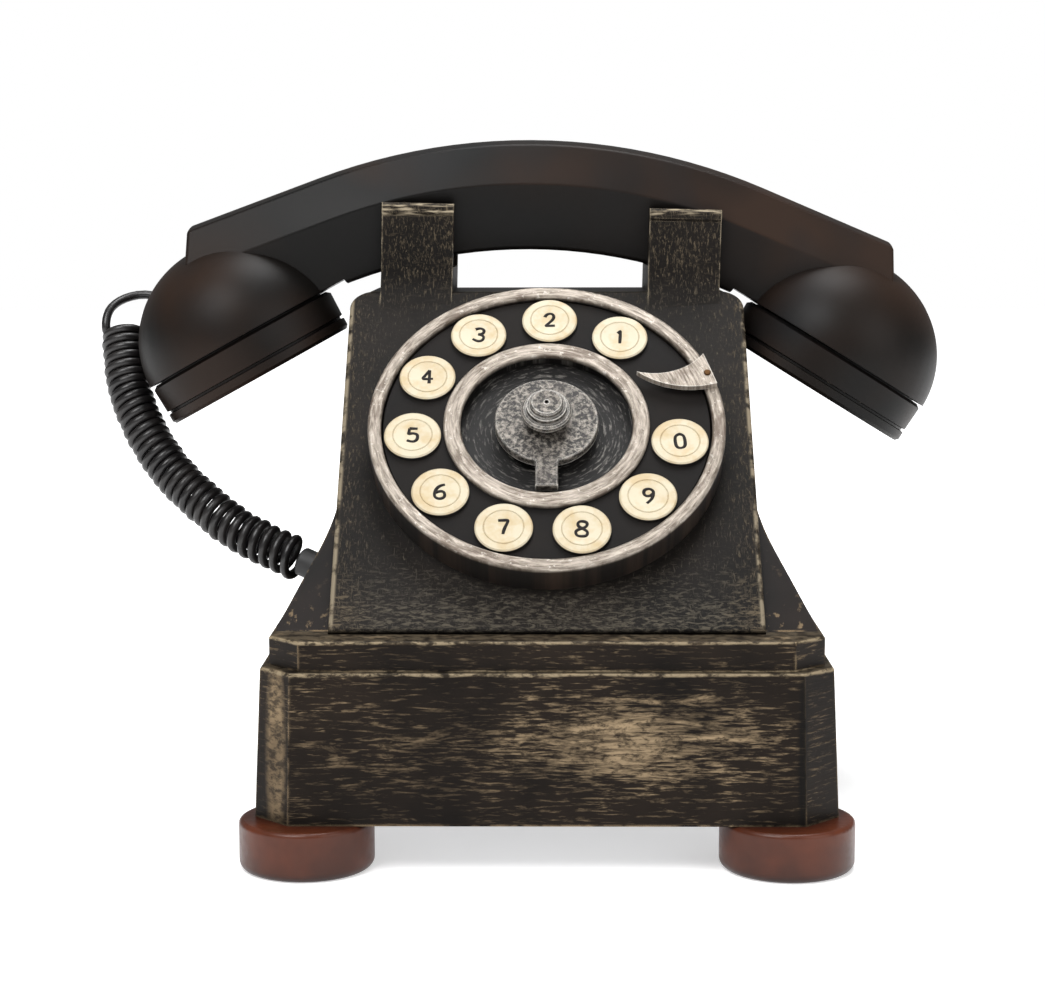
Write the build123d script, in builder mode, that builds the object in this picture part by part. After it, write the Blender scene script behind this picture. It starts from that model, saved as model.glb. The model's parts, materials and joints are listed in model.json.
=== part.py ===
"""Rotary desk telephone: a flared case on a two-step plinth with four round feet, a leaning front
panel that carries the dial, and an arched handset that rests in a cradle of four prongs.

Frame: +X to the right, +Y to the back, +Z up, origin on the floor under the middle, millimetres.
"""

import os
from math import asin, cos, pi, radians, sin, tan

from build123d import *

# ---------------------------------------------------------------- driving dimensions
# plinth
plinth_half_width = 71.5
plinth_half_depth = 73.0
plinth_draft = 2.5
plinth_corner = 8.9
plinth_wall = 3.0
foot_height = 12.3
step_z = 49.6
plinth_top_z = 57.0
step_half_width = 67.8
step_half_depth = 69.6
well_half_width, well_half_depth = 48.0, 60.0

# screws
screw_r, screw_hole_r = 1.5, 1.55

# feet
foot_r = 16.6
foot_x = 58.9
foot_y = 63.7

# leaning front panel and the case behind it
lean = 43.5
panel_half_width = 53.5
panel_thick = 4.0
panel_corner = 6.0
case_top_z = 137.6
case_rear_y = 53.0
case_wall = 2.6
skirt_z = 84.0
skirt_half_width = 53.8
neck_half_width = 48.5

# dial, measured along the panel's normal from the panel's face
dial_y, dial_z = -21.2, 100.05
dial_opening_r = 40.0
bezel_r, bezel_bore_r, bezel_top = 45.9, 42.45, 8.9
wheel_r, wheel_bottom, wheel_top = 42.1, 5.6, 7.2
disc_pitch_r, disc_r, disc_top = 34.5, 7.3, 8.5
first_disc, disc_step, discs = 56.0, 32.67, 10
ring_r, ring_bore_r, ring_top = 26.5, 22.1, 8.7
dish_floor = 4.6
plate_r, plate_top, tab_width = 13.3, 9.6, 5.8
knob_r, knob_step_r, knob_step, knob_top = 6.4, 4.3, 14.2, 17.0
stop_bottom, stop_top = bezel_top, 10.5
shaft_r = 3.0
running = 0.05

# dial mechanism behind the panel
gear_teeth, pinion_teeth, tooth_module = 60, 15, 0.5
gear_back, gear_front = -4.4, -2.4
mech_back, mech_front = -8.4, -6.4
mech_r = 36.0

# handset, drawn in its own upright plane
handset_x, handset_y, crown_z = -1.2, 33.0, 179.2
handset_tilt = 1.4
crown_r, arc_half = 168.0, 62.0
handle_half_length = 97.8
handle_height, ridge_drop = 30.2, 12.3
crown_half, ridge_half, keel_half = 9.5, 14.0, 9.5
cup_x, cup_drop, cup_tilt = 77.7, 67.6, 30.3
dome_r, dome_height, dome_wall = 28.9, 27.8, 3.2
dome_start = 11.8
cap_r = 28.4

# cradle
prong_in, prong_out, prong_thick = 26.7, 46.2, 4.0
prong_x = 1.9
prong_top_drop = 18.2
prong_bend_r = 20.0
plunger_r, plunger_travel = 3.2, 5.0

# cords: the coiled cord's middle line runs from beside the left cup down to the case's left side
coil_r, wire_r = 6.0, 1.25
gland_r = 4.0
coil_route = [
    (-121.3, 42.0, 126.3),
    (-120.0, 36.0, 113.2),
    (-116.1, 31.0, 103.6),
    (-110.3, 26.0, 93.6),
    (-103.0, 21.5, 85.1),
    (-94.0, 17.0, 78.1),
    (-86.0, 13.0, 72.4),
    (-76.3, 9.2, 68.2),
    (-67.2, 5.8, 64.8),
]

os.makedirs("parts", exist_ok=True)


# the case stands in the middle while it is drawn, and the handset reaches further left than right,
# so every piece moves by this much to bring the middle of the whole width over the origin
centre_shift = 2.66


def save(piece, name):
    """Moves a finished piece into the frame, labels it and writes it."""
    placed = piece.part.moved(Location((centre_shift, 0, 0)))
    placed.label = name
    export_step(placed, f"parts/{name}.step")


# ---------------------------------------------------------------- shared planes
normal = Vector(0, -cos(radians(lean)), sin(radians(lean)))
panel = Plane(origin=(0, dial_y, dial_z), x_dir=(1, 0, 0), z_dir=normal)
tilt = radians(handset_tilt)
side = Plane(
    origin=(handset_x, handset_y, crown_z),
    x_dir=(cos(tilt), 0, -sin(tilt)),
    z_dir=(0, -1, 0),
)


def panel_point(z, depth=0.0):
    """(y, z) of the point of the panel's face, or of a plane behind it, at a height."""
    along = (z - dial_z) / cos(radians(lean))
    return dial_y + along * sin(radians(lean)) + depth / cos(radians(lean)), z


def cup_plane(sign):
    """The upright plane through a cup's axis: its origin is in the cap's face, its Y is the axis."""
    turn = radians(cup_tilt)
    out = side.x_dir * cos(turn) - side.y_dir * (sign * sin(turn))
    centre = side.from_local_coords((sign * cup_x, -cup_drop, 0))
    return Plane(origin=centre, x_dir=out, z_dir=side.z_dir)


# ---------------------------------------------------------------- plinth and feet
case_screw_x, case_screw_y = 55.5, (-35.0, 51.0)
case_screw_places = [(x, y) for x in (-case_screw_x, case_screw_x) for y in case_screw_y]
foot_places = [(x, y) for x in (-foot_x, foot_x) for y in (-foot_y, foot_y)]


def octagon(half_width, half_depth, corner):
    """A rectangle with its four corners cut off, in the current sketch."""
    rectangle = Rectangle(2 * half_width, 2 * half_depth)
    chamfer(rectangle.vertices(), corner)


draft = (step_z - foot_height) * tan(radians(plinth_draft))
with BuildPart() as lower_plinth:
    with BuildSketch(Plane.XY.offset(foot_height)):
        octagon(plinth_half_width, plinth_half_depth, plinth_corner)
    extrude(amount=step_z - foot_height, taper=plinth_draft)
    top_rim = lower_plinth.faces().sort_by(Axis.Z)[-1].edges()
    fillet(top_rim, 0.8)
    with BuildSketch(Plane.XY.offset(foot_height)):
        octagon(
            plinth_half_width - plinth_wall - draft,
            plinth_half_depth - plinth_wall - draft,
            plinth_corner,
        )
    extrude(amount=step_z - foot_height - plinth_wall, mode=Mode.SUBTRACT)
    with BuildSketch(Plane.XY.offset(step_z - plinth_wall)):
        octagon(well_half_width, well_half_depth, plinth_corner - 2)
    extrude(amount=plinth_wall, mode=Mode.SUBTRACT)
    with BuildSketch(Plane.XY.offset(foot_height)):
        with Locations(*foot_places):
            Circle(4.4)
    extrude(amount=14, mode=Mode.ADD)
    with BuildSketch(Plane.XY.offset(foot_height)):
        with Locations(*foot_places):
            Circle(screw_hole_r)
    extrude(amount=11, mode=Mode.SUBTRACT)
    with BuildSketch(Plane.XY.offset(step_z)):
        with Locations(*case_screw_places):
            Circle(screw_hole_r)
    extrude(amount=-plinth_wall, mode=Mode.SUBTRACT)
save(lower_plinth, "lower_plinth")

with BuildPart() as upper_plinth:
    with BuildSketch(Plane.XY.offset(step_z)):
        octagon(step_half_width, step_half_depth, plinth_corner - 1)
    extrude(amount=plinth_top_z - step_z)
    fillet(upper_plinth.faces().sort_by(Axis.Z)[-1].edges(), 0.8)
    with BuildSketch(Plane.XY.offset(step_z)):
        octagon(well_half_width, well_half_depth, plinth_corner - 2)
    extrude(amount=plinth_top_z - step_z, mode=Mode.SUBTRACT)
    with BuildSketch(Plane.XY.offset(step_z)):
        with Locations(*case_screw_places):
            Circle(screw_hole_r)
    extrude(amount=plinth_top_z - step_z, mode=Mode.SUBTRACT)
save(upper_plinth, "upper_plinth")

base_x = plinth_half_width - plinth_wall - draft - 0.3
base_y = plinth_half_depth - plinth_wall - draft - 0.3
base_top_z = foot_height + 2.0
with BuildPart() as base_plate:
    with BuildSketch(Plane.XY.offset(foot_height)):
        octagon(base_x, base_y, plinth_corner)
        with Locations(*foot_places):
            Circle(5.2, mode=Mode.SUBTRACT)
        with GridLocations(16, 60, 3, 2):
            SlotOverall(10, 3, rotation=90, mode=Mode.SUBTRACT)
    extrude(amount=base_top_z - foot_height)
save(base_plate, "base_plate")

with BuildPart() as feet:
    with BuildSketch(Plane.XY):
        with Locations(*foot_places):
            Circle(foot_r)
    extrude(amount=foot_height)
    fillet(feet.edges().group_by(Axis.Z)[0], 2.2)
    fillet(feet.edges().filter_by(GeomType.CIRCLE).group_by(Axis.Z)[-1], 1.2)
    with BuildSketch(Plane.XY):
        with Locations(*foot_places):
            Circle(1.9)
    extrude(amount=foot_height, mode=Mode.SUBTRACT)
    with BuildSketch(Plane.XY):
        with Locations(*foot_places):
            Circle(3.8)
    extrude(amount=6.0, mode=Mode.SUBTRACT)
save(feet, "feet")


def pan_screw(plane, places, head_r, head, shank_r, shank):
    """Screws with their heads on a plane and their shanks along its normal, as one part."""
    with BuildPart() as screws:
        with BuildSketch(plane):
            with Locations(*places):
                Circle(head_r)
        extrude(amount=-head)
        fillet(screws.faces().sort_by(Axis(plane.origin, plane.z_dir))[0].edges(), 0.4)
        with BuildSketch(plane):
            with Locations(*places):
                Circle(shank_r)
        extrude(amount=shank)
        with BuildSketch(plane.offset(-head)):
            with Locations(*places):
                Rectangle(1.7 * head_r, 0.7)
        extrude(amount=0.8, mode=Mode.SUBTRACT)
    return screws


foot_screws = pan_screw(Plane.XY.offset(6.0), foot_places, 3.4, 2.2, screw_r, 15.0)
save(foot_screws, "foot_screws")

# ---------------------------------------------------------------- case shell
bushing_z, bushing_r = 68.0, 5.0
gland_plane = Plane(origin=coil_route[-1], z_dir=Vector(coil_route[-2]) - Vector(coil_route[-1]))
saddle_mid = (prong_in + prong_out) / 2
plunger_places = [(prong_x - saddle_mid, handset_y), (prong_x + saddle_mid, handset_y)]


def housing(inset, low_z):
    """The solid that fills the case's outline, moved in by an inset."""
    front = panel_thick + inset
    with BuildPart() as solid:
        with BuildSketch(Plane.XZ):
            with BuildLine():
                foot = (step_half_width - 1.2 - inset, plinth_top_z + 1.2)
                hip = (skirt_half_width - inset, skirt_z)
                top = (neck_half_width - inset, case_top_z - inset)
                waist = (60.6 - inset, 69.0)
                Line((0, low_z), (foot[0], low_z))
                Line((foot[0], low_z), foot)
                Spline(foot, waist, hip, tangents=((-0.55, 0.84), (-0.25, 1)))
                Line(hip, top)
                Line(top, (0, top[1]))
                mirror(about=Plane.YZ)
            make_face()
        extrude(amount=100, both=True)
        with BuildSketch(Plane.YZ):
            with BuildLine():
                rear_top = (case_rear_y - inset, case_top_z - inset)
                rear_hip = (62.5 - inset, 82.0)
                rear_foot = (step_half_depth - 1.4 - inset, plinth_top_z + 1.2)
                Polyline(
                    (rear_foot[0], low_z),
                    panel_point(low_z, front),
                    panel_point(case_top_z - inset, front),
                    rear_top,
                    rear_hip,
                )
                Spline(rear_hip, rear_foot, tangents=((0.3, -1), (0.75, -0.66)))
                Line(rear_foot, (rear_foot[0], low_z))
            make_face()
        extrude(amount=100, both=True, mode=Mode.INTERSECT)
    return solid


case_inside = housing(case_wall, plinth_top_z - 1)
with BuildPart() as case_shell:
    add(housing(0, plinth_top_z).part)
    add(case_inside.part, mode=Mode.SUBTRACT)
    with BuildSketch(Plane.XY.offset(plinth_top_z)):
        with Locations(*case_screw_places):
            Circle(4.4)
    extrude(amount=10.5)
    add(housing(0, plinth_top_z).part, mode=Mode.INTERSECT)
    with BuildSketch(Plane.XY.offset(plinth_top_z)):
        with Locations(*case_screw_places):
            Circle(screw_hole_r)
    extrude(amount=7.5, mode=Mode.SUBTRACT)
    with BuildSketch(panel.offset(5)):
        Circle(dial_opening_r + 0.5)
    extrude(amount=-22, mode=Mode.SUBTRACT)
    with BuildSketch(Plane.XY.offset(case_top_z - 10)):
        with Locations(*plunger_places):
            Circle(plunger_r + running)
    extrude(amount=20, mode=Mode.SUBTRACT)
    with BuildSketch(Plane.XZ.offset(-40)):
        with Locations((0, bushing_z)):
            Circle(bushing_r)
    extrude(amount=-40, mode=Mode.SUBTRACT)
    with BuildSketch(gland_plane.offset(6)):
        Circle(gland_r)
    extrude(amount=-26, mode=Mode.SUBTRACT)
save(case_shell, "case_shell")

case_screws = pan_screw(
    Plane.XY.offset(step_z - plinth_wall), case_screw_places, 3.2, 2.2, screw_r, 17.0
)
save(case_screws, "case_screws")

# ---------------------------------------------------------------- front panel with its prongs
leg = panel_thick / cos(radians(lean))


def prong_plane(x):
    """The upright plane across the cradle at a distance from its middle; local X is the row's Y."""
    place = side.from_local_coords((x + prong_x - handset_x, 0, 0))
    return Plane(origin=(place.X, 0, place.Z), x_dir=(0, 1, 0), z_dir=side.x_dir)


front_y = handset_y - ridge_half - 0.2 - prong_thick
rear_y = handset_y + ridge_half + 0.2
prong_width = prong_out - prong_in
prong_top = -prong_top_drop
bend_drop = prong_bend_r * sin(radians(lean))
bend_back = prong_bend_r * (1 - cos(radians(lean)))


def front_prong(x):
    """One front prong: it leaves the panel's face, bends upright and ends in a small lip."""
    plane = prong_plane(x)
    foot_y = front_y - bend_back
    foot_row_z = dial_z + (foot_y - dial_y) / tan(radians(lean))
    foot_z = foot_row_z - plane.origin.Z
    bend_z = foot_z + bend_drop
    heel_z = case_top_z - plane.origin.Z
    with BuildPart() as prong:
        with BuildSketch(plane):
            with BuildLine():
                RadiusArc((foot_y, foot_z), (front_y, bend_z), -prong_bend_r)
                Line((front_y, bend_z), (front_y, prong_top - 3.4))
                Line((front_y, prong_top - 3.4), (front_y - 0.7, prong_top - 2.6))
                Line((front_y - 0.7, prong_top - 2.6), (front_y - 0.7, prong_top - 0.8))
                Line((front_y - 0.7, prong_top - 0.8), (front_y, prong_top))
                Line((front_y, prong_top), (front_y + prong_thick - 0.8, prong_top))
                Line((front_y + prong_thick - 0.8, prong_top), (front_y + prong_thick, prong_top - 0.8))
                Line((front_y + prong_thick, prong_top - 0.8), (front_y + prong_thick, heel_z))
                Line((front_y + prong_thick, heel_z), (foot_y, foot_z))
            make_face()
        extrude(amount=prong_width)
    return prong


with BuildPart() as front_panel:
    bottom_v = (plinth_top_z - dial_z) / cos(radians(lean))
    top_v = (case_top_z - dial_z) / cos(radians(lean))
    with BuildSketch(panel):
        with Locations((0, (bottom_v + top_v) / 2)):
            face = Rectangle(2 * panel_half_width, top_v - bottom_v)
        fillet(face.vertices().group_by(Axis(panel.origin, panel.y_dir))[-1], panel_corner)
    extrude(amount=leg, dir=(0, 1, 0))
    fillet(front_panel.faces().sort_by(Axis(panel.origin, panel.z_dir))[-1].edges(), 0.9)
    add(front_prong(-prong_out).part)
    add(front_prong(prong_in).part)
    with BuildSketch(panel.offset(5)):
        Circle(dial_opening_r)
    extrude(amount=-20, mode=Mode.SUBTRACT)
save(front_panel, "front_panel")

# ---------------------------------------------------------------- cradle saddles with rear prongs
keel_r = crown_r - handle_height
seat_gap = 0.12


def saddle(x):
    """One saddle: the handle's keel lies in it, and its rear wall stands up as a prong."""
    plane = prong_plane(x)
    depth = rear_y + prong_thick - handset_y
    inner, outer = x + prong_x - handset_x, x + prong_x - handset_x + prong_width
    with BuildPart() as piece:
        with BuildSketch(plane):
            with BuildLine():
                base = case_top_z - plane.origin.Z - 2
                front, back = front_y + prong_thick, handset_y + depth
                Polyline(
                    (front, base),
                    (back, base),
                    (back, prong_top - 1.2),
                    (back - 1.2, prong_top),
                    (back - prong_thick + 1.2, prong_top),
                    (back - prong_thick, prong_top - 1.2),
                    (back - prong_thick, base + 9),
                    (front, base + 9),
                    close=True,
                )
            make_face()
        extrude(amount=prong_width)
        with BuildSketch(Plane.XY.offset(case_top_z)):
            Rectangle(300, 300)
        extrude(amount=-40, mode=Mode.SUBTRACT)
        with BuildSketch(side):
            with Locations(((inner + outer) / 2, 20 - crown_r + keel_r - seat_gap)):
                Rectangle(prong_width + 4, 60)
            with Locations((0, -crown_r)):
                Circle(keel_r - seat_gap, mode=Mode.SUBTRACT)
        extrude(amount=ridge_half + 0.2, both=True, mode=Mode.SUBTRACT)
        with BuildSketch(Plane.XY.offset(case_top_z - 5)):
            with Locations(*plunger_places):
                Circle(plunger_r + running)
        extrude(amount=20, mode=Mode.SUBTRACT)
    return piece


for name, x in (("left_saddle", -prong_out), ("right_saddle", prong_in)):
    save(saddle(x), name)

# ---------------------------------------------------------------- handset
bend = asin(arc_half / crown_r)
shoulder = (arc_half, -crown_r + crown_r * cos(bend))
tip_x = handle_half_length + 8
tip = (tip_x, shoulder[1] - (tip_x - arc_half) * tan(bend))


def cup_dome(sign):
    """A dome on a cup's axis."""
    plane = cup_plane(sign)
    with BuildPart() as dome:
        with BuildSketch(plane):
            with BuildLine():
                Line((0, dome_start - 1), (dome_r, dome_start - 1))
                Line((dome_r, dome_start - 1), (dome_r, dome_start))
                EllipticalCenterArc((0, dome_start), dome_r, dome_height, start_angle=0, arc_size=90)
                Line((0, dome_start + dome_height), (0, dome_start - 1))
            make_face()
        revolve(axis=Axis(plane.origin, plane.y_dir))
    return dome


def cup_cavity(sign):
    """The room for a capsule inside a cup."""
    plane = cup_plane(sign)
    mouth_r = dome_r - dome_wall
    with BuildPart() as room:
        with BuildSketch(plane):
            with BuildLine():
                Polyline(
                    (0, dome_start - 4),
                    (mouth_r, dome_start - 4),
                    (mouth_r, dome_start + 5),
                    (mouth_r - 6, dome_start + 14),
                    (mouth_r - 12, dome_start + 18),
                    (0, dome_start + 18),
                    close=True,
                )
            make_face()
        revolve(axis=Axis(plane.origin, plane.y_dir))
    return room


exit_r = 2.4
exit_way = Vector(-0.946, 0.223, 0.234)
exit_plane = Plane(origin=(-103.4, 48.6, 133.0), x_dir=(exit_way.Y, -exit_way.X, 0), z_dir=exit_way)

with BuildPart() as handset_body:
    with BuildLine(side) as crown:
        Line((-tip[0], tip[1]), (-shoulder[0], shoulder[1]))
        ThreePointArc((-shoulder[0], shoulder[1]), (0, 0), shoulder)
        Line(shoulder, tip)
    start = crown.line @ 0
    with BuildSketch(Plane(origin=start, x_dir=(0, 1, 0), z_dir=crown.line % 0)):
        with BuildLine():
            ThreePointArc((-crown_half, -1.5), (0, 0), (crown_half, -1.5))
            Polyline(
                (crown_half, -1.5),
                (ridge_half, -ridge_drop),
                (keel_half, -handle_height),
                (-keel_half, -handle_height),
                (-ridge_half, -ridge_drop),
                (-crown_half, -1.5),
            )
        make_face()
        fillet(vertices(), 1.4)
    sweep(path=crown.line)
    with BuildSketch(side):
        with Locations((0, -30)):
            Rectangle(2 * handle_half_length, 120)
    extrude(amount=30, both=True, mode=Mode.INTERSECT)
    for sign in (-1, 1):
        end = handset_body.faces().sort_by(Axis(side.origin, side.x_dir * sign))[-1]
        fillet(end.edges(), 1.2)
    for sign in (-1, 1):
        add(cup_dome(sign).part)
    for sign in (-1, 1):
        add(cup_cavity(sign).part, mode=Mode.SUBTRACT)
        plane = cup_plane(sign)
        with BuildSketch(Plane(origin=plane.from_local_coords((0, dome_start + 0.4, 0)),
                               x_dir=plane.z_dir, z_dir=-plane.y_dir)):
            Circle(36)
        extrude(amount=30, mode=Mode.SUBTRACT)
    with BuildSketch(exit_plane.offset(-8)):
        Circle(exit_r)
    extrude(amount=20, mode=Mode.SUBTRACT)
    with BuildSketch(exit_plane.offset(2)):
        Circle(exit_r + 0.6)
    extrude(amount=10, mode=Mode.SUBTRACT)
save(handset_body, "handset_body")


def screw_cap(sign, holes):
    """A screw-on cap: rim, groove and band outside, a collar inside the cup, and sound holes."""
    plane = cup_plane(sign)
    with BuildPart() as cap:
        with BuildSketch(plane):
            with BuildLine():
                Polyline(
                    (0, 3.2),
                    (0, 1.8),
                    (12, 1.2),
                    (20.5, 2.4),
                    (23.5, 0.2),
                    (24.5, 0.0),
                    (cap_r - 1.0, 0.0),
                    (cap_r - 0.2, 0.9),
                    (cap_r - 0.2, 3.0),
                    (cap_r - 1.1, 3.2),
                    (cap_r - 1.1, 3.8),
                    (cap_r - 0.2, 4.0),
                    (cap_r, dome_start - 0.9),
                    (cap_r - 1.0, dome_start - 0.1),
                    (cap_r - 1.0, dome_start),
                    (dome_r - dome_wall - 0.1, dome_start),
                    (dome_r - dome_wall - 0.4, dome_start + 3.4),
                    (dome_r - dome_wall - 3.0, dome_start + 3.4),
                    (dome_r - dome_wall - 3.0, 5.0),
                    (20.0, 4.2),
                    (0, 3.2),
                )
            make_face()
        revolve(axis=Axis(plane.origin, plane.y_dir))
        face = Plane(origin=plane.origin, x_dir=plane.x_dir, z_dir=plane.y_dir)
        with BuildSketch(face):
            for ring_r_mm, count in holes:
                with PolarLocations(ring_r_mm, count):
                    Circle(1.1)
        extrude(amount=8, mode=Mode.SUBTRACT)
    return cap


save(screw_cap(1, ((0, 1), (6.0, 6))), "earpiece_cap")
save(screw_cap(-1, ((0, 1), (5.0, 6), (10.0, 12), (15.0, 18))), "mouthpiece_cap")


def capsule(sign, radius, low, high, boss_r):
    """A receiver or transmitter capsule: a flat can with a raised boss on its back."""
    plane = cup_plane(sign)
    seat = Plane(origin=plane.origin, x_dir=plane.x_dir, z_dir=plane.y_dir)
    with BuildPart() as can:
        with BuildSketch(seat.offset(low)):
            Circle(radius)
        extrude(amount=high - low)
        fillet(can.edges(), 0.8)
        with BuildSketch(seat.offset(high)):
            Circle(boss_r)
        extrude(amount=3.0)
        with BuildSketch(seat.offset(high + 3.0)):
            with Locations((-4, 0), (4, 0)):
                Circle(1.3)
        extrude(amount=1.6)
    return can


with BuildPart() as handset_gland:
    with BuildSketch(exit_plane.offset(-5)):
        Circle(exit_r)
    extrude(amount=7)
    with BuildSketch(exit_plane.offset(2)):
        Circle(exit_r + 0.6)
    extrude(amount=5.5, taper=8)
    fillet(handset_gland.faces().sort_by(Axis(exit_plane.origin, exit_plane.z_dir))[-1].edges(), 0.4)
    with BuildSketch(exit_plane.offset(-5)):
        Circle(wire_r + 0.1)
    extrude(amount=8, mode=Mode.SUBTRACT)
save(handset_gland, "handset_gland")

save(capsule(1, 21.5, 5.6, 14.0, 12.0), "receiver_capsule")
save(capsule(-1, 21.5, 5.6, 17.0, 9.0), "transmitter_capsule")


# ---------------------------------------------------------------- dial, fixed parts
def ring(plane, low, high, outer_r, inner_r, rounding=0.0):
    """A flat ring between two levels above a plane, with its top edges rounded."""
    with BuildPart() as piece:
        with BuildSketch(plane.offset(low)):
            Circle(outer_r)
            if inner_r > 0:
                Circle(inner_r, mode=Mode.SUBTRACT)
        extrude(amount=high - low)
        if rounding > 0:
            top = piece.faces().sort_by(Axis(plane.origin, plane.z_dir))[-1]
            fillet(top.edges(), rounding)
    return piece


def at_angle(radius, angle):
    """A place on the dial, counted counter-clockwise from its right-hand side."""
    return radius * cos(radians(angle)), radius * sin(radians(angle))


bezel_floor = 1.4
shaft_bush_r = 5.5
pinion_angle = 200.0
gear_r = gear_teeth * tooth_module / 2
pinion_r = pinion_teeth * tooth_module / 2
centre_distance = gear_r + pinion_r + 0.12
pinion_place = at_angle(centre_distance, pinion_angle)
pillar_places = [at_angle(31.0, angle) for angle in (30, 150, 270)]
governor_shaft_r = 1.2

with BuildPart() as dial_bezel:
    with BuildSketch(panel):
        Circle(bezel_r)
    extrude(amount=bezel_top)
    with BuildSketch(panel.offset(bezel_floor)):
        Circle(bezel_bore_r)
    extrude(amount=bezel_top, mode=Mode.SUBTRACT)
    fillet(dial_bezel.faces().sort_by(Axis(panel.origin, normal))[-1].edges(), 0.7)
    with BuildSketch(panel):
        Circle(shaft_bush_r)
        with Locations(*pillar_places):
            Circle(screw_hole_r)
        with Locations(pinion_place):
            Circle(governor_shaft_r + running)
    extrude(amount=bezel_floor, mode=Mode.SUBTRACT)
save(dial_bezel, "dial_bezel")


# the finger stop: a claw from the bezel's rim inwards, hooked towards the first disc
stop_foot, stop_tip = 20.5, 33.0
with BuildPart() as finger_stop:
    with BuildSketch(panel.offset(stop_bottom)):
        with BuildLine():
            heel = at_angle(bezel_r - 0.4, stop_foot - 6.0)
            crest = at_angle(bezel_r + 0.2, stop_foot + 7.0)
            point = at_angle(27.9, stop_tip)
            ThreePointArc(heel, at_angle(35.5, stop_foot - 3.4), point)
            ThreePointArc(point, at_angle(36.0, stop_foot + 4.6), crest)
            Line(crest, heel)
        make_face()
    extrude(amount=stop_top - stop_bottom)
    rivet_place = at_angle(bezel_r - 1.7, stop_foot - 1.0)
    with BuildSketch(panel.offset(stop_bottom)):
        with Locations(rivet_place):
            Circle(0.52)
    extrude(amount=5, mode=Mode.SUBTRACT)
save(finger_stop, "finger_stop")

with BuildPart() as stop_rivet:
    with BuildSketch(panel.offset(stop_bottom)):
        with Locations(rivet_place):
            Circle(0.5)
    extrude(amount=stop_top - stop_bottom)
    with BuildSketch(panel.offset(stop_top)):
        with Locations(rivet_place):
            Circle(0.9)
    extrude(amount=0.4)
    fillet(stop_rivet.faces().sort_by(Axis(panel.origin, normal))[-1].edges(), 0.25)
save(stop_rivet, "stop_rivet")

# ---------------------------------------------------------------- dial, turning parts
with BuildPart() as finger_wheel:
    with BuildSketch(panel.offset(wheel_bottom)):
        Circle(wheel_r)
        Circle(ring_bore_r + 1.9, mode=Mode.SUBTRACT)
    extrude(amount=wheel_top - wheel_bottom)
    fillet(finger_wheel.faces().sort_by(Axis(panel.origin, normal))[-1].edges(), 0.3)
save(finger_wheel, "finger_wheel")

with BuildPart() as number_discs:
    for index in range(discs):
        place = at_angle(disc_pitch_r, first_disc + index * disc_step)
        seat = Plane(
            origin=panel.from_local_coords((*place, wheel_top)),
            x_dir=(1, 0, 0),
            z_dir=-panel.y_dir,
        )
        height = disc_top - wheel_top
        with BuildSketch(seat):
            with BuildLine():
                Polyline(
                    (0, 0),
                    (disc_r, 0),
                    (disc_r, height - 0.35),
                    (disc_r - 0.35, height),
                    (0.72 * disc_r, height),
                    (0.69 * disc_r, height - 0.18),
                    (0.66 * disc_r, height),
                    (0, height - 0.25),
                    close=True,
                )
            make_face()
        revolve(axis=Axis(seat.origin, normal))
save(number_discs, "number_discs")

save(ring(panel, wheel_top, ring_top, ring_r, ring_bore_r, 0.6), "dial_inner_ring")

pan_r = ring_bore_r + 1.9
with BuildPart() as dial_dish:
    with BuildSketch(panel.offset(dish_floor - 1)):
        Circle(pan_r)
    extrude(amount=wheel_top - dish_floor + 1)
    with BuildSketch(panel.offset(dish_floor)):
        Circle(pan_r - 1.2)
    extrude(amount=5, mode=Mode.SUBTRACT)
    with BuildSketch(panel):
        Circle(shaft_r + 0.02)
    extrude(amount=10, mode=Mode.SUBTRACT)
save(dial_dish, "dial_dish")

plate_low = plate_top - 2.4
with BuildPart() as centre_plate:
    with BuildSketch(panel.offset(dish_floor)):
        Circle(9.0)
    extrude(amount=plate_low - dish_floor)
    with BuildSketch(panel.offset(plate_low)):
        Circle(plate_r)
        with Locations((0, -(plate_r + 20.8) / 2 + 1)):
            Rectangle(tab_width, 20.8 - plate_r + 2)
    extrude(amount=plate_top - plate_low)
    fillet(centre_plate.faces().sort_by(Axis(panel.origin, normal))[-1].edges(), 0.4)
    with BuildSketch(panel):
        Circle(shaft_r + 0.02)
    extrude(amount=20, mode=Mode.SUBTRACT)
save(centre_plate, "centre_plate")

with BuildPart() as centre_knob:
    across = Plane(origin=panel.origin, x_dir=panel.x_dir, z_dir=-panel.y_dir)
    with BuildSketch(across):
        with BuildLine():
            Polyline(
                (0, plate_top + 0.9),
                (shaft_r, plate_top + 0.9),
                (shaft_r, plate_top),
                (knob_step_r, plate_top),
                (knob_step_r, knob_step - 2.0),
                (knob_r - 0.3, knob_step - 2.0),
                (knob_r, knob_step - 1.7),
                (knob_r, knob_step - 0.5),
                (knob_r - 0.5, knob_step),
                (knob_step_r + 0.9, knob_step),
                (knob_step_r + 0.8, knob_step + 1.3),
                (knob_step_r, knob_step + 1.4),
                (knob_step_r - 0.1, knob_top - 0.4),
                (knob_step_r - 0.5, knob_top),
                (0.6, knob_top - 0.1),
                (0.6, knob_top - 1.2),
                (0, knob_top - 1.2),
                close=True,
            )
        make_face()
    revolve(axis=Axis(panel.origin, normal))
save(centre_knob, "centre_knob")

with BuildPart() as dial_shaft:
    with BuildSketch(panel.offset(mech_back - 1.5)):
        Circle(shaft_r)
    extrude(amount=plate_top + 0.8 - mech_back + 1.5)
save(dial_shaft, "dial_shaft")


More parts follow.
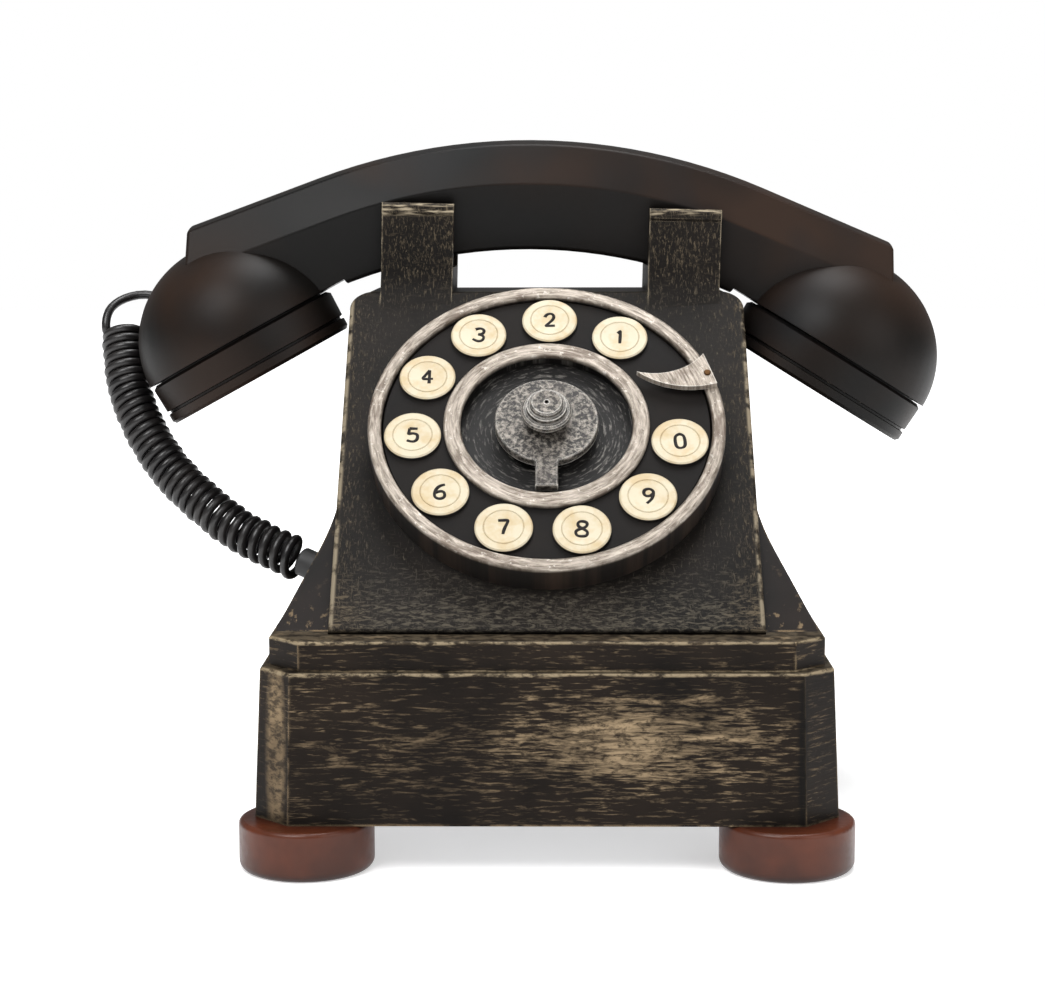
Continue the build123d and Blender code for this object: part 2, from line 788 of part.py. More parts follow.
def spur_gear(plane, teeth, low, high, bore_r, turn):
    """A spur gear with straight-sided teeth, between two levels above a plane."""
    pitch_r = teeth * tooth_module / 2
    root_r, tip_r = pitch_r - 1.2 * tooth_module, pitch_r + 0.9 * tooth_module
    step = 360 / teeth
    with BuildPart() as gear:
        with BuildSketch(plane.offset(low)):
            Circle(root_r)
            with PolarLocations(0, teeth, turn):
                with BuildLine():
                    Polyline(
                        (root_r - 0.3, root_r * sin(radians(step * 0.31))),
                        (pitch_r, pitch_r * sin(radians(step * 0.205))),
                        (tip_r, tip_r * sin(radians(step * 0.10))),
                        (tip_r, -tip_r * sin(radians(step * 0.10))),
                        (pitch_r, -pitch_r * sin(radians(step * 0.205))),
                        (root_r - 0.3, -root_r * sin(radians(step * 0.31))),
                        close=True,
                    )
                make_face()
            Circle(bore_r, mode=Mode.SUBTRACT)
        extrude(amount=high - low)
    return gear


main_gear = spur_gear(panel, gear_teeth, gear_back, gear_front, shaft_r, pinion_angle)
save(main_gear, "main_gear")

pinion_plane = Plane(
    origin=panel.from_local_coords((*pinion_place, 0)), x_dir=(1, 0, 0), z_dir=normal
)
pinion_turn = pinion_angle + 180 + 180 / pinion_teeth
governor_pinion = spur_gear(
    pinion_plane, pinion_teeth, gear_back - 0.3, gear_front + 0.3, governor_shaft_r, pinion_turn
)
save(governor_pinion, "governor_pinion")

# ---------------------------------------------------------------- dial mechanism
with BuildPart() as mechanism_plate:
    with BuildSketch(panel.offset(mech_back)):
        Circle(mech_r)
        Circle(shaft_bush_r, mode=Mode.SUBTRACT)
        with Locations(*pillar_places):
            Circle(screw_hole_r, mode=Mode.SUBTRACT)
        with Locations(pinion_place):
            Circle(governor_shaft_r + running, mode=Mode.SUBTRACT)
        with Locations(at_angle(23.0, 60), at_angle(23.0, 110), at_angle(24.0, 310)):
            Circle(6.0, mode=Mode.SUBTRACT)
    extrude(amount=mech_front - mech_back)
save(mechanism_plate, "mechanism_plate")

with BuildPart() as shaft_bushes:
    add(ring(panel, 0.0, 3.0, shaft_bush_r, shaft_r + running, 0.4).part)
    add(ring(panel, mech_back - 1, mech_front + 0.6, shaft_bush_r, shaft_r + running, 0.3).part)
save(shaft_bushes, "shaft_bushes")

with BuildPart() as mechanism_pillars:
    with BuildSketch(panel.offset(mech_front)):
        with Locations(*pillar_places):
            RegularPolygon(3.0, 6)
            Circle(screw_hole_r, mode=Mode.SUBTRACT)
    extrude(amount=-mech_front)
save(mechanism_pillars, "mechanism_pillars")

mechanism_screws = pan_screw(panel.offset(mech_back), pillar_places, 2.8, 1.8, screw_r, 9.6)
save(mechanism_screws, "mechanism_screws")

# the return spring is a flat spiral of half-turns whose radius grows by half the pitch each time
spring_first_r, spring_pitch, spring_halves, ribbon = 6.6, 1.7, 9, 0.5


def spiral_side(shift):
    """The half-turns of one side of the ribbon, as (centre, radius, start angle)."""
    turns = []
    for index in range(spring_halves):
        centre = (0, 0) if index % 2 == 0 else (spring_pitch / 2, 0)
        turn_r = spring_first_r + index * spring_pitch / 2 + shift
        turns.append((centre, turn_r, 180 * (index % 2)))
    return turns


with BuildPart() as return_spring:
    with BuildSketch(panel.offset(1.8)):
        with BuildLine():
            for shift in (-ribbon / 2, ribbon / 2):
                for centre, turn_r, start in spiral_side(shift):
                    CenterArc(centre, turn_r, start, 180)
            Line(
                (spring_first_r - ribbon / 2, 0),
                (spring_first_r + ribbon / 2, 0),
            )
            last_r = spring_first_r + spring_halves * spring_pitch / 2
            Line((-last_r + spring_pitch / 2 - ribbon / 2, 0),
                 (-last_r + spring_pitch / 2 + ribbon / 2, 0))
        make_face()
    extrude(amount=1.4)
save(return_spring, "return_spring")

governor_back = mech_back - 9.0
with BuildPart() as governor_shaft:
    with BuildSketch(pinion_plane.offset(governor_back - 1.2)):
        Circle(governor_shaft_r)
    extrude(amount=bezel_floor - governor_back)
save(governor_shaft, "governor_shaft")

with BuildPart() as governor_rotor:
    with BuildSketch(pinion_plane.offset(mech_back - 6.5)):
        Circle(2.6)
        Rectangle(12.0, 3.0)
        with Locations((5.4, 0), (-5.4, 0)):
            Circle(2.0)
        Circle(governor_shaft_r, mode=Mode.SUBTRACT)
    extrude(amount=4.0)
save(governor_rotor, "governor_rotor")

with BuildPart() as governor_cup:
    with BuildSketch(pinion_plane.offset(mech_back)):
        Circle(9.6)
    extrude(amount=governor_back - mech_back)
    with BuildSketch(pinion_plane.offset(mech_back)):
        Circle(8.4)
    extrude(amount=governor_back - mech_back + 1.2, mode=Mode.SUBTRACT)
    with BuildSketch(pinion_plane.offset(mech_back)):
        Circle(governor_shaft_r + running)
    extrude(amount=governor_back - mech_back, mode=Mode.SUBTRACT)
save(governor_cup, "governor_cup")

with BuildPart() as pulse_contacts:
    with BuildSketch(panel.offset(mech_back)):
        with Locations(at_angle(25.0, 345)):
            Rectangle(9, 12)
    extrude(amount=-6)
    for level in (-2.0, -4.0):
        with BuildSketch(panel.offset(mech_back + level)):
            with Locations((18.0, 0.0)):
                Rectangle(22, 3.0)
        extrude(amount=-0.4)
save(pulse_contacts, "pulse_contacts")

# ---------------------------------------------------------------- hook switch
bar_low, bar_top = 123.0, 126.0
bar_y, bar_half_depth = handset_y, 3.4
left_x, right_x = plunger_places[0][0], plunger_places[1][0]


def keel_z(x):
    """Height of the handle's underside above a place on the row's X axis."""
    local_x = (x - handset_x) / cos(tilt)
    local_z = -crown_r + (keel_r**2 - local_x**2) ** 0.5
    return side.from_local_coords((local_x, local_z, 0)).Z


with BuildPart() as hook_plungers:
    for x in (left_x, right_x):
        with BuildSketch(Plane.XY.offset(bar_top)):
            with Locations((x, bar_y)):
                Circle(plunger_r)
        extrude(amount=keel_z(x) - 1.15 - bar_top)
        top = hook_plungers.faces(Select.LAST).sort_by(Axis.Z)[-1]
        fillet(top.edges(), 1.6)
save(hook_plungers, "hook_plungers")

with BuildPart() as plunger_bar:
    with BuildSketch(Plane.XY.offset(bar_low)):
        with Locations(((left_x + right_x) / 2, bar_y)):
            SlotOverall(right_x - left_x + 10, 2 * bar_half_depth)
    extrude(amount=bar_top - bar_low)
    with BuildSketch(Plane.XY.offset(bar_low)):
        with Locations((2, bar_y)):
            Circle(2.2)
    extrude(amount=-8.0)
save(plunger_bar, "plunger_bar")

frame_x, frame_low = (-25.0, 27.0), 104.0
with BuildPart() as switch_frame:
    ceiling = case_top_z - case_wall
    with BuildSketch(Plane.XY.offset(frame_low)):
        with Locations(((frame_x[0] + frame_x[1]) / 2, bar_y + 3)):
            Rectangle(frame_x[1] - frame_x[0] + 2, 20)
    extrude(amount=1.5)
    for x in frame_x:
        with BuildSketch(Plane.XY.offset(frame_low)):
            with Locations((x, bar_y)):
                Rectangle(2, 14)
        extrude(amount=ceiling - frame_low)
        with BuildSketch(Plane.YZ.offset(x)):
            with Locations((bar_y, (bar_low + bar_top + plunger_travel) / 2)):
                Rectangle(2 * bar_half_depth + 0.6, bar_top - bar_low + plunger_travel + 1.6)
        extrude(amount=3, both=True, mode=Mode.SUBTRACT)
save(switch_frame, "switch_frame")

with BuildPart() as hook_contacts:
    with BuildSketch(Plane.XY.offset(frame_low + 1.5)):
        with Locations((2, bar_y + 9)):
            Rectangle(10, 8)
    extrude(amount=9.0)
    for level in (3.0, 5.5, 8.0):
        with BuildSketch(Plane.XY.offset(frame_low + 1.5 + level)):
            with Locations((2, bar_y + 4)):
                Rectangle(5, 20)
        extrude(amount=0.4)
save(hook_contacts, "hook_contacts")


# ---------------------------------------------------------------- ringer and wiring in the plinth
gong_x, gong_y, gong_r, gong_low, gong_high = 26.0, -22.0, 19.5, 27.0, 39.0
bell_plate_top = base_top_z + 1.5
with BuildPart() as ringer_plate:
    with BuildSketch(Plane.XY.offset(base_top_z)):
        with Locations((0, 5)):
            RectangleRounded(78, 76, 6)
        with Locations((0, -5)):
            RectangleRounded(26, 18, 3, mode=Mode.SUBTRACT)
    extrude(amount=bell_plate_top - base_top_z)
save(ringer_plate, "ringer_plate")

for name, x in (("left_gong", -gong_x), ("right_gong", gong_x)):
    with BuildPart() as gong:
        with BuildSketch(Plane.XZ.offset(-gong_y)):
            with BuildLine():
                Polyline((x, gong_high), (x + 3, gong_high))
                Spline(
                    (x + 3, gong_high),
                    (x + gong_r - 4, gong_high - 4.4),
                    (x + gong_r, gong_low),
                    tangents=((1, 0), (0.12, -1)),
                )
                Polyline((x + gong_r, gong_low), (x + gong_r - 1.3, gong_low))
                Spline(
                    (x + gong_r - 1.3, gong_low),
                    (x + gong_r - 5.1, gong_high - 5.4),
                    (x + 3, gong_high - 1.3),
                    tangents=((-0.12, 1), (-1, 0)),
                )
                Polyline((x + 3, gong_high - 1.3), (x, gong_high - 1.3), (x, gong_high))
            make_face()
        revolve(axis=Axis((x, gong_y, 0), (0, 0, 1)))
        with BuildSketch(Plane.XY.offset(gong_low)):
            with Locations((x, gong_y)):
                Circle(screw_hole_r)
        extrude(amount=30, mode=Mode.SUBTRACT)
    save(gong, name)

gong_places = [(-gong_x, gong_y), (gong_x, gong_y)]
with BuildPart() as gong_posts:
    with BuildSketch(Plane.XY.offset(bell_plate_top)):
        with Locations(*gong_places):
            Circle(3.0)
    extrude(amount=gong_high - 1.3 - bell_plate_top)
    with BuildSketch(Plane.XY.offset(gong_high)):
        with Locations(*gong_places):
            Circle(screw_hole_r)
    extrude(amount=-12, mode=Mode.SUBTRACT)
save(gong_posts, "gong_posts")

gong_screws = pan_screw(
    Plane(origin=(0, 0, gong_high), x_dir=(1, 0, 0), z_dir=(0, 0, -1)),
    [(x, -y) for x, y in gong_places],
    3.6,
    2.0,
    screw_r,
    11.0,
)
save(gong_screws, "gong_screws")

pivot_y, rod_z, ball_r = 18.0, 30.0, 3.2
with BuildPart() as clapper:
    with BuildSketch(Plane.XY.offset(rod_z - 2.5)):
        with Locations((0, pivot_y)):
            Rectangle(32, 3.6)
            Circle(3.4)
            Circle(1.5 + running, mode=Mode.SUBTRACT)
    extrude(amount=5)
    with BuildSketch(Plane.XZ.offset(-pivot_y + 2.6)):
        with Locations((0, rod_z)):
            Circle(0.9)
    extrude(amount=pivot_y - gong_y - 3.0)
    with BuildSketch(Plane.XZ.offset(-gong_y)):
        with BuildLine():
            CenterArc((0, rod_z), ball_r, -90, 180)
            Line((0, rod_z + ball_r), (0, rod_z - ball_r))
        make_face()
    revolve(axis=Axis((0, gong_y, 0), (0, 0, 1)))
save(clapper, "clapper")

with BuildPart() as clapper_pin:
    with BuildSketch(Plane.XY.offset(bell_plate_top)):
        with Locations((0, pivot_y)):
            Circle(3.0)
    extrude(amount=rod_z - 2.9 - bell_plate_top)
    with BuildSketch(Plane.XY.offset(bell_plate_top)):
        with Locations((0, pivot_y)):
            Circle(1.5)
    extrude(amount=rod_z + 4 - bell_plate_top)
save(clapper_pin, "clapper_pin")

coil_x, coil_front, coil_back, core_r = 11.0, 23.6, 41.0, 2.6
core_places = [(-coil_x, rod_z), (coil_x, rod_z)]
with BuildPart() as ringer_yoke:
    with BuildSketch(Plane.XZ.offset(-coil_back)):
        with Locations((0, (rod_z + 8 + bell_plate_top) / 2)):
            Rectangle(36, rod_z + 8 - bell_plate_top)
    extrude(amount=-3)
    with BuildSketch(Plane.XZ.offset(-coil_back)):
        with Locations(*core_places):
            Circle(core_r)
    extrude(amount=coil_back - coil_front + 1.6)
save(ringer_yoke, "ringer_yoke")

with BuildPart() as ringer_coils:
    with BuildSketch(Plane.XZ.offset(-coil_back)):
        with Locations(*core_places):
            Circle(7.4)
            Circle(core_r, mode=Mode.SUBTRACT)
    extrude(amount=coil_back - coil_front)
    with BuildSketch(Plane.XZ.offset(-coil_back + 1.2)):
        with Locations(*core_places):
            Circle(9)
            Circle(6.4, mode=Mode.SUBTRACT)
    extrude(amount=coil_back - coil_front - 2.4, mode=Mode.SUBTRACT)
save(ringer_coils, "ringer_coils")

with BuildPart() as induction_coil:
    with BuildSketch(Plane.YZ.offset(-56)):
        with Locations((52, base_top_z + 8.5)):
            Rectangle(15, 17)
    extrude(amount=2)
    with BuildSketch(Plane.YZ.offset(-26)):
        with Locations((52, base_top_z + 8.5)):
            Rectangle(15, 17)
    extrude(amount=-2)
    with BuildSketch(Plane.YZ.offset(-54)):
        with Locations((52, base_top_z + 8.5)):
            Circle(6.5)
    extrude(amount=26)
save(induction_coil, "induction_coil")

with BuildPart() as capacitor:
    with BuildSketch(Plane.XY.offset(base_top_z)):
        with Locations((45, 50)):
            RectangleRounded(26, 14, 1.5)
    extrude(amount=21)
    fillet(capacitor.faces().sort_by(Axis.Z)[-1].edges(), 0.8)
save(capacitor, "capacitor")

terminal_y = -53.0
terminal_places = [(x * 7.0, terminal_y) for x in (-2.5, -1.5, -0.5, 0.5, 1.5, 2.5)]
with BuildPart() as terminal_strip:
    with BuildSketch(Plane.XY.offset(base_top_z)):
        with Locations((0, terminal_y)):
            Rectangle(46, 10)
    extrude(amount=6)
    for x in range(-3, 4):
        with BuildSketch(Plane.XY.offset(base_top_z + 6)):
            with Locations((x * 7.0, terminal_y)):
                Rectangle(1.0, 10)
        extrude(amount=3)
    with BuildSketch(Plane.XY.offset(base_top_z + 6)):
        with Locations(*terminal_places):
            Circle(screw_hole_r)
    extrude(amount=-5, mode=Mode.SUBTRACT)
save(terminal_strip, "terminal_strip")

terminal_screws = pan_screw(
    Plane(origin=(0, 0, base_top_z + 6), x_dir=(1, 0, 0), z_dir=(0, 0, -1)),
    [(x, -y) for x, y in terminal_places],
    2.6,
    1.5,
    screw_r,
    4.6,
)
save(terminal_screws, "terminal_screws")

# ---------------------------------------------------------------- cord entries and cords
with BuildPart() as line_bushing:
    with BuildSketch(Plane.XZ.offset(-56)):
        with Locations((0, bushing_z)):
            Circle(bushing_r + 2.0)
    extrude(amount=-2)
    with BuildSketch(Plane.XZ.offset(-58)):
        with Locations((0, bushing_z)):
            Circle(bushing_r - 0.02)
    extrude(amount=-11)
    fillet(line_bushing.faces().sort_by(Axis.Y)[-1].edges(), 0.6)
    with BuildSketch(Plane.XZ.offset(-50)):
        with Locations((0, bushing_z)):
            Circle(3.2)
    extrude(amount=-30, mode=Mode.SUBTRACT)
save(line_bushing, "line_bushing")

with BuildPart() as cord_gland:
    with BuildSketch(gland_plane):
        Circle(gland_r - 0.02)
    extrude(amount=-11)
    fillet(cord_gland.faces().sort_by(Axis(gland_plane.origin, gland_plane.z_dir))[-1].edges(), 0.8)
save(cord_gland, "cord_gland")


def tube(points, radius):
    """A round tube that follows straight runs joined by arcs as large as the runs allow."""
    bends = []
    for before, corner, after in zip(points, points[1:], points[2:]):
        first, second = Vector(corner) - Vector(before), Vector(after) - Vector(corner)
        half_turn = radians(first.get_angle(second)) / 2
        bends.append(0.45 * min(first.length, second.length) / tan(half_turn))
    print("bend radii", [round(bend_r, 1) for bend_r in bends])
    with BuildPart() as cord:
        with BuildLine() as route:
            FilletPolyline(*points, radius=bends)
        with BuildSketch(Plane(origin=route.line @ 0, z_dir=route.line % 0)):
            Circle(radius)
        sweep(path=route.line)
    length = sum(edge.length for edge in route.edges())
    print("volume share", round(cord.part.volume / (pi * radius**2 * length), 4))
    return cord


save(tube(coil_route, coil_r), "curly_cord")

tail_route = [
    tuple(exit_plane.from_local_coords((0, 0, 7.5))),
    tuple(exit_plane.from_local_coords((0, 0, 12.9))),
    (-121.5, 50.2, 135.1),
    (-125.1, 46.25, 132.85),
    (-126.4, 43.55, 129.7),
    (-126.0, 41.8, 125.9),
]
save(tube(tail_route, wire_r), "cord_tail")
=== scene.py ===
"""Looks of the rotary desk telephone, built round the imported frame."""

import json
from math import cos, radians, sin, tau

import bmesh
import bpy
from mathutils import Matrix, Vector


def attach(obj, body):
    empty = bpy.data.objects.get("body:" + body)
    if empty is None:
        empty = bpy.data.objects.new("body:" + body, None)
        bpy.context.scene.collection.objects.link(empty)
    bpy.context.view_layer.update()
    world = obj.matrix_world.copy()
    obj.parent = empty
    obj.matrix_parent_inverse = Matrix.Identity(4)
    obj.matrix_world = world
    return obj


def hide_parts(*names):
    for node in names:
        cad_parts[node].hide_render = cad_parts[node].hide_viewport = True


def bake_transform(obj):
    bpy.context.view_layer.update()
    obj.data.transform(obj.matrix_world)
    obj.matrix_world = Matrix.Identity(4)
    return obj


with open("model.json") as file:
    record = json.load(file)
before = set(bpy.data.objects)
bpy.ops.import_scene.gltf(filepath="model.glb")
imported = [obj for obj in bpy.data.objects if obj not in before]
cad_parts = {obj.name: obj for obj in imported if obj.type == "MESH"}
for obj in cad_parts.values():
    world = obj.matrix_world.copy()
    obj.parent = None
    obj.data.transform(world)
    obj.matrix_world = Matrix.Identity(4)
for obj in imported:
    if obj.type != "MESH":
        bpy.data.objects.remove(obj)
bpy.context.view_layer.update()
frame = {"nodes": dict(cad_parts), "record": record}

nodes = frame["nodes"]
MM = 0.001
CENTRE_SHIFT = 2.66 * MM  # the case's middle stands this far right of the origin
LEAN = radians(43.5)
DIAL_CENTRE = Vector((CENTRE_SHIFT, -21.2 * MM, 100.05 * MM))
PANEL_TURN = (radians(90) - LEAN, 0, 0)  # turns the row frame into the dial's own frame

scene = bpy.context.scene
collection = scene.collection


def add_object(name, data):
    """Makes an object of some data and links it to the scene."""
    item = bpy.data.objects.new(name, data)
    collection.objects.link(item)
    return item


# ---------------------------------------------------------------- camera
TILT, ROLL, PAN = radians(7.22), radians(0.09), radians(0.62)
camera_data = bpy.data.cameras.new("camera")
camera_data.lens = 76.75
camera_data.sensor_width = 36
camera = add_object("camera", camera_data)
camera.location = (0.06 * MM + CENTRE_SHIFT, -596.0 * MM, 159.8 * MM)
camera.rotation_euler = (radians(90) - TILT, ROLL, PAN)
scene.camera = camera

# ---------------------------------------------------------------- handset cord
WIRE = 2.5 * MM
COIL_R = 4.75 * MM
TAIL_ROUTE = [
    (-110.50, 50.27, 134.76),
    (-115.60, 51.48, 136.02),
    (-121.50, 50.20, 135.10),
    (-125.10, 46.25, 132.85),
    (-126.40, 43.55, 129.70),
    (-126.00, 41.80, 125.90),
]
COIL_ROUTE = [
    (-121.3, 42.0, 126.3),
    (-120.0, 36.0, 113.2),
    (-116.1, 31.0, 103.6),
    (-110.3, 26.0, 93.6),
    (-103.0, 21.5, 85.1),
    (-94.0, 17.0, 78.1),
    (-86.0, 13.0, 72.4),
    (-76.3, 9.2, 68.2),
    (-67.2, 5.8, 64.8),
]
STEPS_PER_TURN = 16
TIGHT_PITCH, OPEN_PITCH = 2.62 * MM, 3.7 * MM
OPENING_FROM, OPENING_LENGTH = 0.55, 0.45  # shares of the route over which the pitch opens
SPLINE_SAG = 0.962  # a turn's spline has this share of the radius of its control points
CLOSED_R, CLOSING_LENGTH = 2.6 * MM, 1.6 * MM  # the last turn closes towards the case
COIL_STOP = 0.3 * MM  # the turns end this far before the route does


def placed(route):
    """A route's points in metres, in the row frame."""
    return [Vector(point) * MM + Vector((CENTRE_SHIFT, 0, 0)) for point in route]


def nurbs_curve(name, points, resolution):
    """A curve object of one open NURBS spline with these control points."""
    curve = bpy.data.curves.new(name, "CURVE")
    curve.dimensions = "3D"
    spline = curve.splines.new("NURBS")
    spline.points.add(len(points) - 1)
    for knot, point in zip(spline.points, points):
        knot.co = (*point, 1)
    spline.order_u = 3
    spline.use_endpoint_u = True
    spline.resolution_u = resolution
    curve.resolution_u = resolution
    return add_object(name, curve)


def line_of(curve_object):
    """The points that a curve without bevel runs through."""
    mesh = bpy.data.meshes.new_from_object(curve_object)
    points = [vertex.co.copy() for vertex in mesh.vertices]
    bpy.data.meshes.remove(mesh)
    return points


def helix_points():
    """Control points of the coiled part, turned round the coil route's own spline."""
    guide = nurbs_curve("coil_guide", placed(COIL_ROUTE), 40)
    axis_line = line_of(guide)
    bpy.data.objects.remove(guide)
    lengths = [0.0]
    for first, second in zip(axis_line, axis_line[1:]):
        lengths.append(lengths[-1] + (second - first).length)
    whole = lengths[-1]
    side = Vector((-1, 0, 0))
    found, distance, turn, segment = [], 0.0, 0.0, 0
    while distance < whole - COIL_STOP:
        while lengths[segment + 1] < distance:
            segment += 1
        share = (distance - lengths[segment]) / (lengths[segment + 1] - lengths[segment])
        centre = axis_line[segment].lerp(axis_line[segment + 1], share)
        along = (axis_line[segment + 1] - axis_line[segment]).normalized()
        side = (side - along * side.dot(along)).normalized()
        other = along.cross(side)
        wobble = 1 + 0.02 * sin(1.7 * turn) + 0.015 * sin(0.61 * turn + 1)
        closing = min(1.0, (whole - distance) / CLOSING_LENGTH)
        reach = (COIL_R * closing + CLOSED_R * (1 - closing)) * wobble / SPLINE_SAG
        found.append(centre + (side * cos(turn) + other * sin(turn)) * reach)
        part = distance / whole
        opened = max(0.0, (part - OPENING_FROM) / OPENING_LENGTH)
        pitch = TIGHT_PITCH + (OPEN_PITCH - TIGHT_PITCH) * min(1.0, opened)
        distance += pitch / STEPS_PER_TURN
        turn += tau / STEPS_PER_TURN
    return found, axis_line[-1]


def make_cord():
    """The handset cord from its gland in the cup, through the loop and the coil, to the case."""
    turns, cord_end = helix_points()
    points = placed(TAIL_ROUTE)[:-1] + turns + [cord_end]
    curve_object = nurbs_curve("cord_curve", points, 3)
    path = line_of(curve_object)
    curve_object.data.bevel_depth = WIRE / 2
    curve_object.data.bevel_resolution = 4
    curve_object.data.use_fill_caps = True
    mesh = bpy.data.meshes.new_from_object(curve_object)
    bpy.data.objects.remove(curve_object)
    for polygon in mesh.polygons:
        polygon.use_smooth = True
    cord = add_object("handset_cord", mesh)
    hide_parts("curly_cord", "cord_tail")
    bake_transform(cord)
    return cord


cord = make_cord()


# ---------------------------------------------------------------- material kit
def paint_colour(red, green, blue):
    """An RGBA colour from 0 to 255 screen values."""
    def straight(value):
        value /= 255
        return value / 12.92 if value <= 0.04045 else ((value + 0.055) / 1.055) ** 2.4

    return (straight(red), straight(green), straight(blue), 1.0)


class Surface:
    """A Principled material, with short calls that add nodes and return their outputs."""

    def __init__(self, name, **settings):
        self.material = bpy.data.materials.new(name)
        self.material.use_nodes = True
        self.tree = self.material.node_tree
        self.shader = self.tree.nodes["Principled BSDF"]
        for label, value in settings.items():
            self.shader.inputs[label.replace("_", " ")].default_value = value
        self.texture = self.add("ShaderNodeTexCoord").outputs["Object"]

    def add(self, kind, **inputs):
        node = self.tree.nodes.new(kind)
        for label, value in inputs.items():
            self.plug(value, node.inputs[label.replace("_", " ")])
        return node

    def plug(self, value, socket):
        if isinstance(value, bpy.types.NodeSocket):
            self.tree.links.new(value, socket)
        else:
            socket.default_value = value

    def place(self, scale=(1, 1, 1), dial=False):
        """Object coordinates, or the dial's own frame, stretched by a scale."""
        source = self.texture
        if dial:
            own = self.add("ShaderNodeMapping", Vector=source, Location=DIAL_CENTRE, Rotation=PANEL_TURN)
            own.vector_type = "TEXTURE"
            source = own.outputs[0]
        return self.add("ShaderNodeMapping", Vector=source, Scale=scale).outputs[0]

    def noise(self, vector, scale, detail=4, rough=0.6, bend=0.0):
        node = self.add(
            "ShaderNodeTexNoise",
            Vector=vector,
            Scale=scale,
            Detail=detail,
            Roughness=rough,
            Distortion=bend,
        )
        return node.outputs[0]

    def span(self, value, low, high, out_low=0.0, out_high=1.0):
        """Maps low..high to out_low..out_high and clamps."""
        node = self.add("ShaderNodeMapRange", Value=value)
        numbers = {"From Min": low, "From Max": high, "To Min": out_low, "To Max": out_high}
        for label, number in numbers.items():
            node.inputs[label].default_value = number
        return node.outputs[0]

    def math(self, operation, first, second=0.0, clamp=True):
        node = self.add("ShaderNodeMath")
        node.operation = operation
        node.use_clamp = clamp
        self.plug(first, node.inputs[0])
        self.plug(second, node.inputs[1])
        return node.outputs[0]

    def mix(self, share, first, second):
        node = self.tree.nodes.new("ShaderNodeMix")
        node.data_type = "RGBA"
        self.plug(share, node.inputs[0])
        self.plug(first, node.inputs[6])
        self.plug(second, node.inputs[7])
        return node.outputs[2]

    def axis(self, vector, name):
        return self.add("ShaderNodeSeparateXYZ", Vector=vector).outputs[name]

    def edges(self, radius, low=0.02, high=0.25):
        """1 along the sharp edges of the mesh and 0 on its faces."""
        bevel = self.add("ShaderNodeBevel", Radius=radius)
        bevel.samples = 6
        facing = self.add("ShaderNodeVectorMath")
        facing.operation = "DOT_PRODUCT"
        self.plug(bevel.outputs[0], facing.inputs[0])
        self.plug(self.add("ShaderNodeNewGeometry").outputs["Normal"], facing.inputs[1])
        return self.span(facing.outputs["Value"], 1 - low, 1 - high)

    def hollows(self, distance, low=0.35, high=0.95):
        """1 in corners and grooves and 0 in the open."""
        shade = self.add("ShaderNodeAmbientOcclusion", Distance=distance)
        shade.samples = 6
        return self.span(shade.outputs["AO"], high, low)

    def spot(self, centre, reach, low=1.0, high=0.35):
        """1 inside an ellipsoid about a place in the row frame, fading to 0 at its skin."""
        scale = tuple(1 / size for size in reach)
        offset = tuple(-place / size for place, size in zip(centre, reach))
        local = self.add("ShaderNodeMapping", Vector=self.texture, Scale=scale, Location=offset)
        far = self.add("ShaderNodeVectorMath")
        far.operation = "LENGTH"
        self.plug(local.outputs[0], far.inputs[0])
        return self.span(far.outputs["Value"], low, high)

    def set(self, colour=None, roughness=None, bump=None, depth=0.0002, strength=0.6, metallic=None):
        if colour is not None:
            self.plug(colour, self.shader.inputs["Base Color"])
        if roughness is not None:
            self.plug(roughness, self.shader.inputs["Roughness"])
        if metallic is not None:
            self.plug(metallic, self.shader.inputs["Metallic"])
        if bump is not None:
            node = self.add("ShaderNodeBump", Height=bump, Strength=strength, Distance=depth)
            self.plug(node.outputs[0], self.shader.inputs["Normal"])
        return self.material


def dress(item, material):
    """Gives an object one material."""
    item.data.materials.clear()
    item.data.materials.append(material)


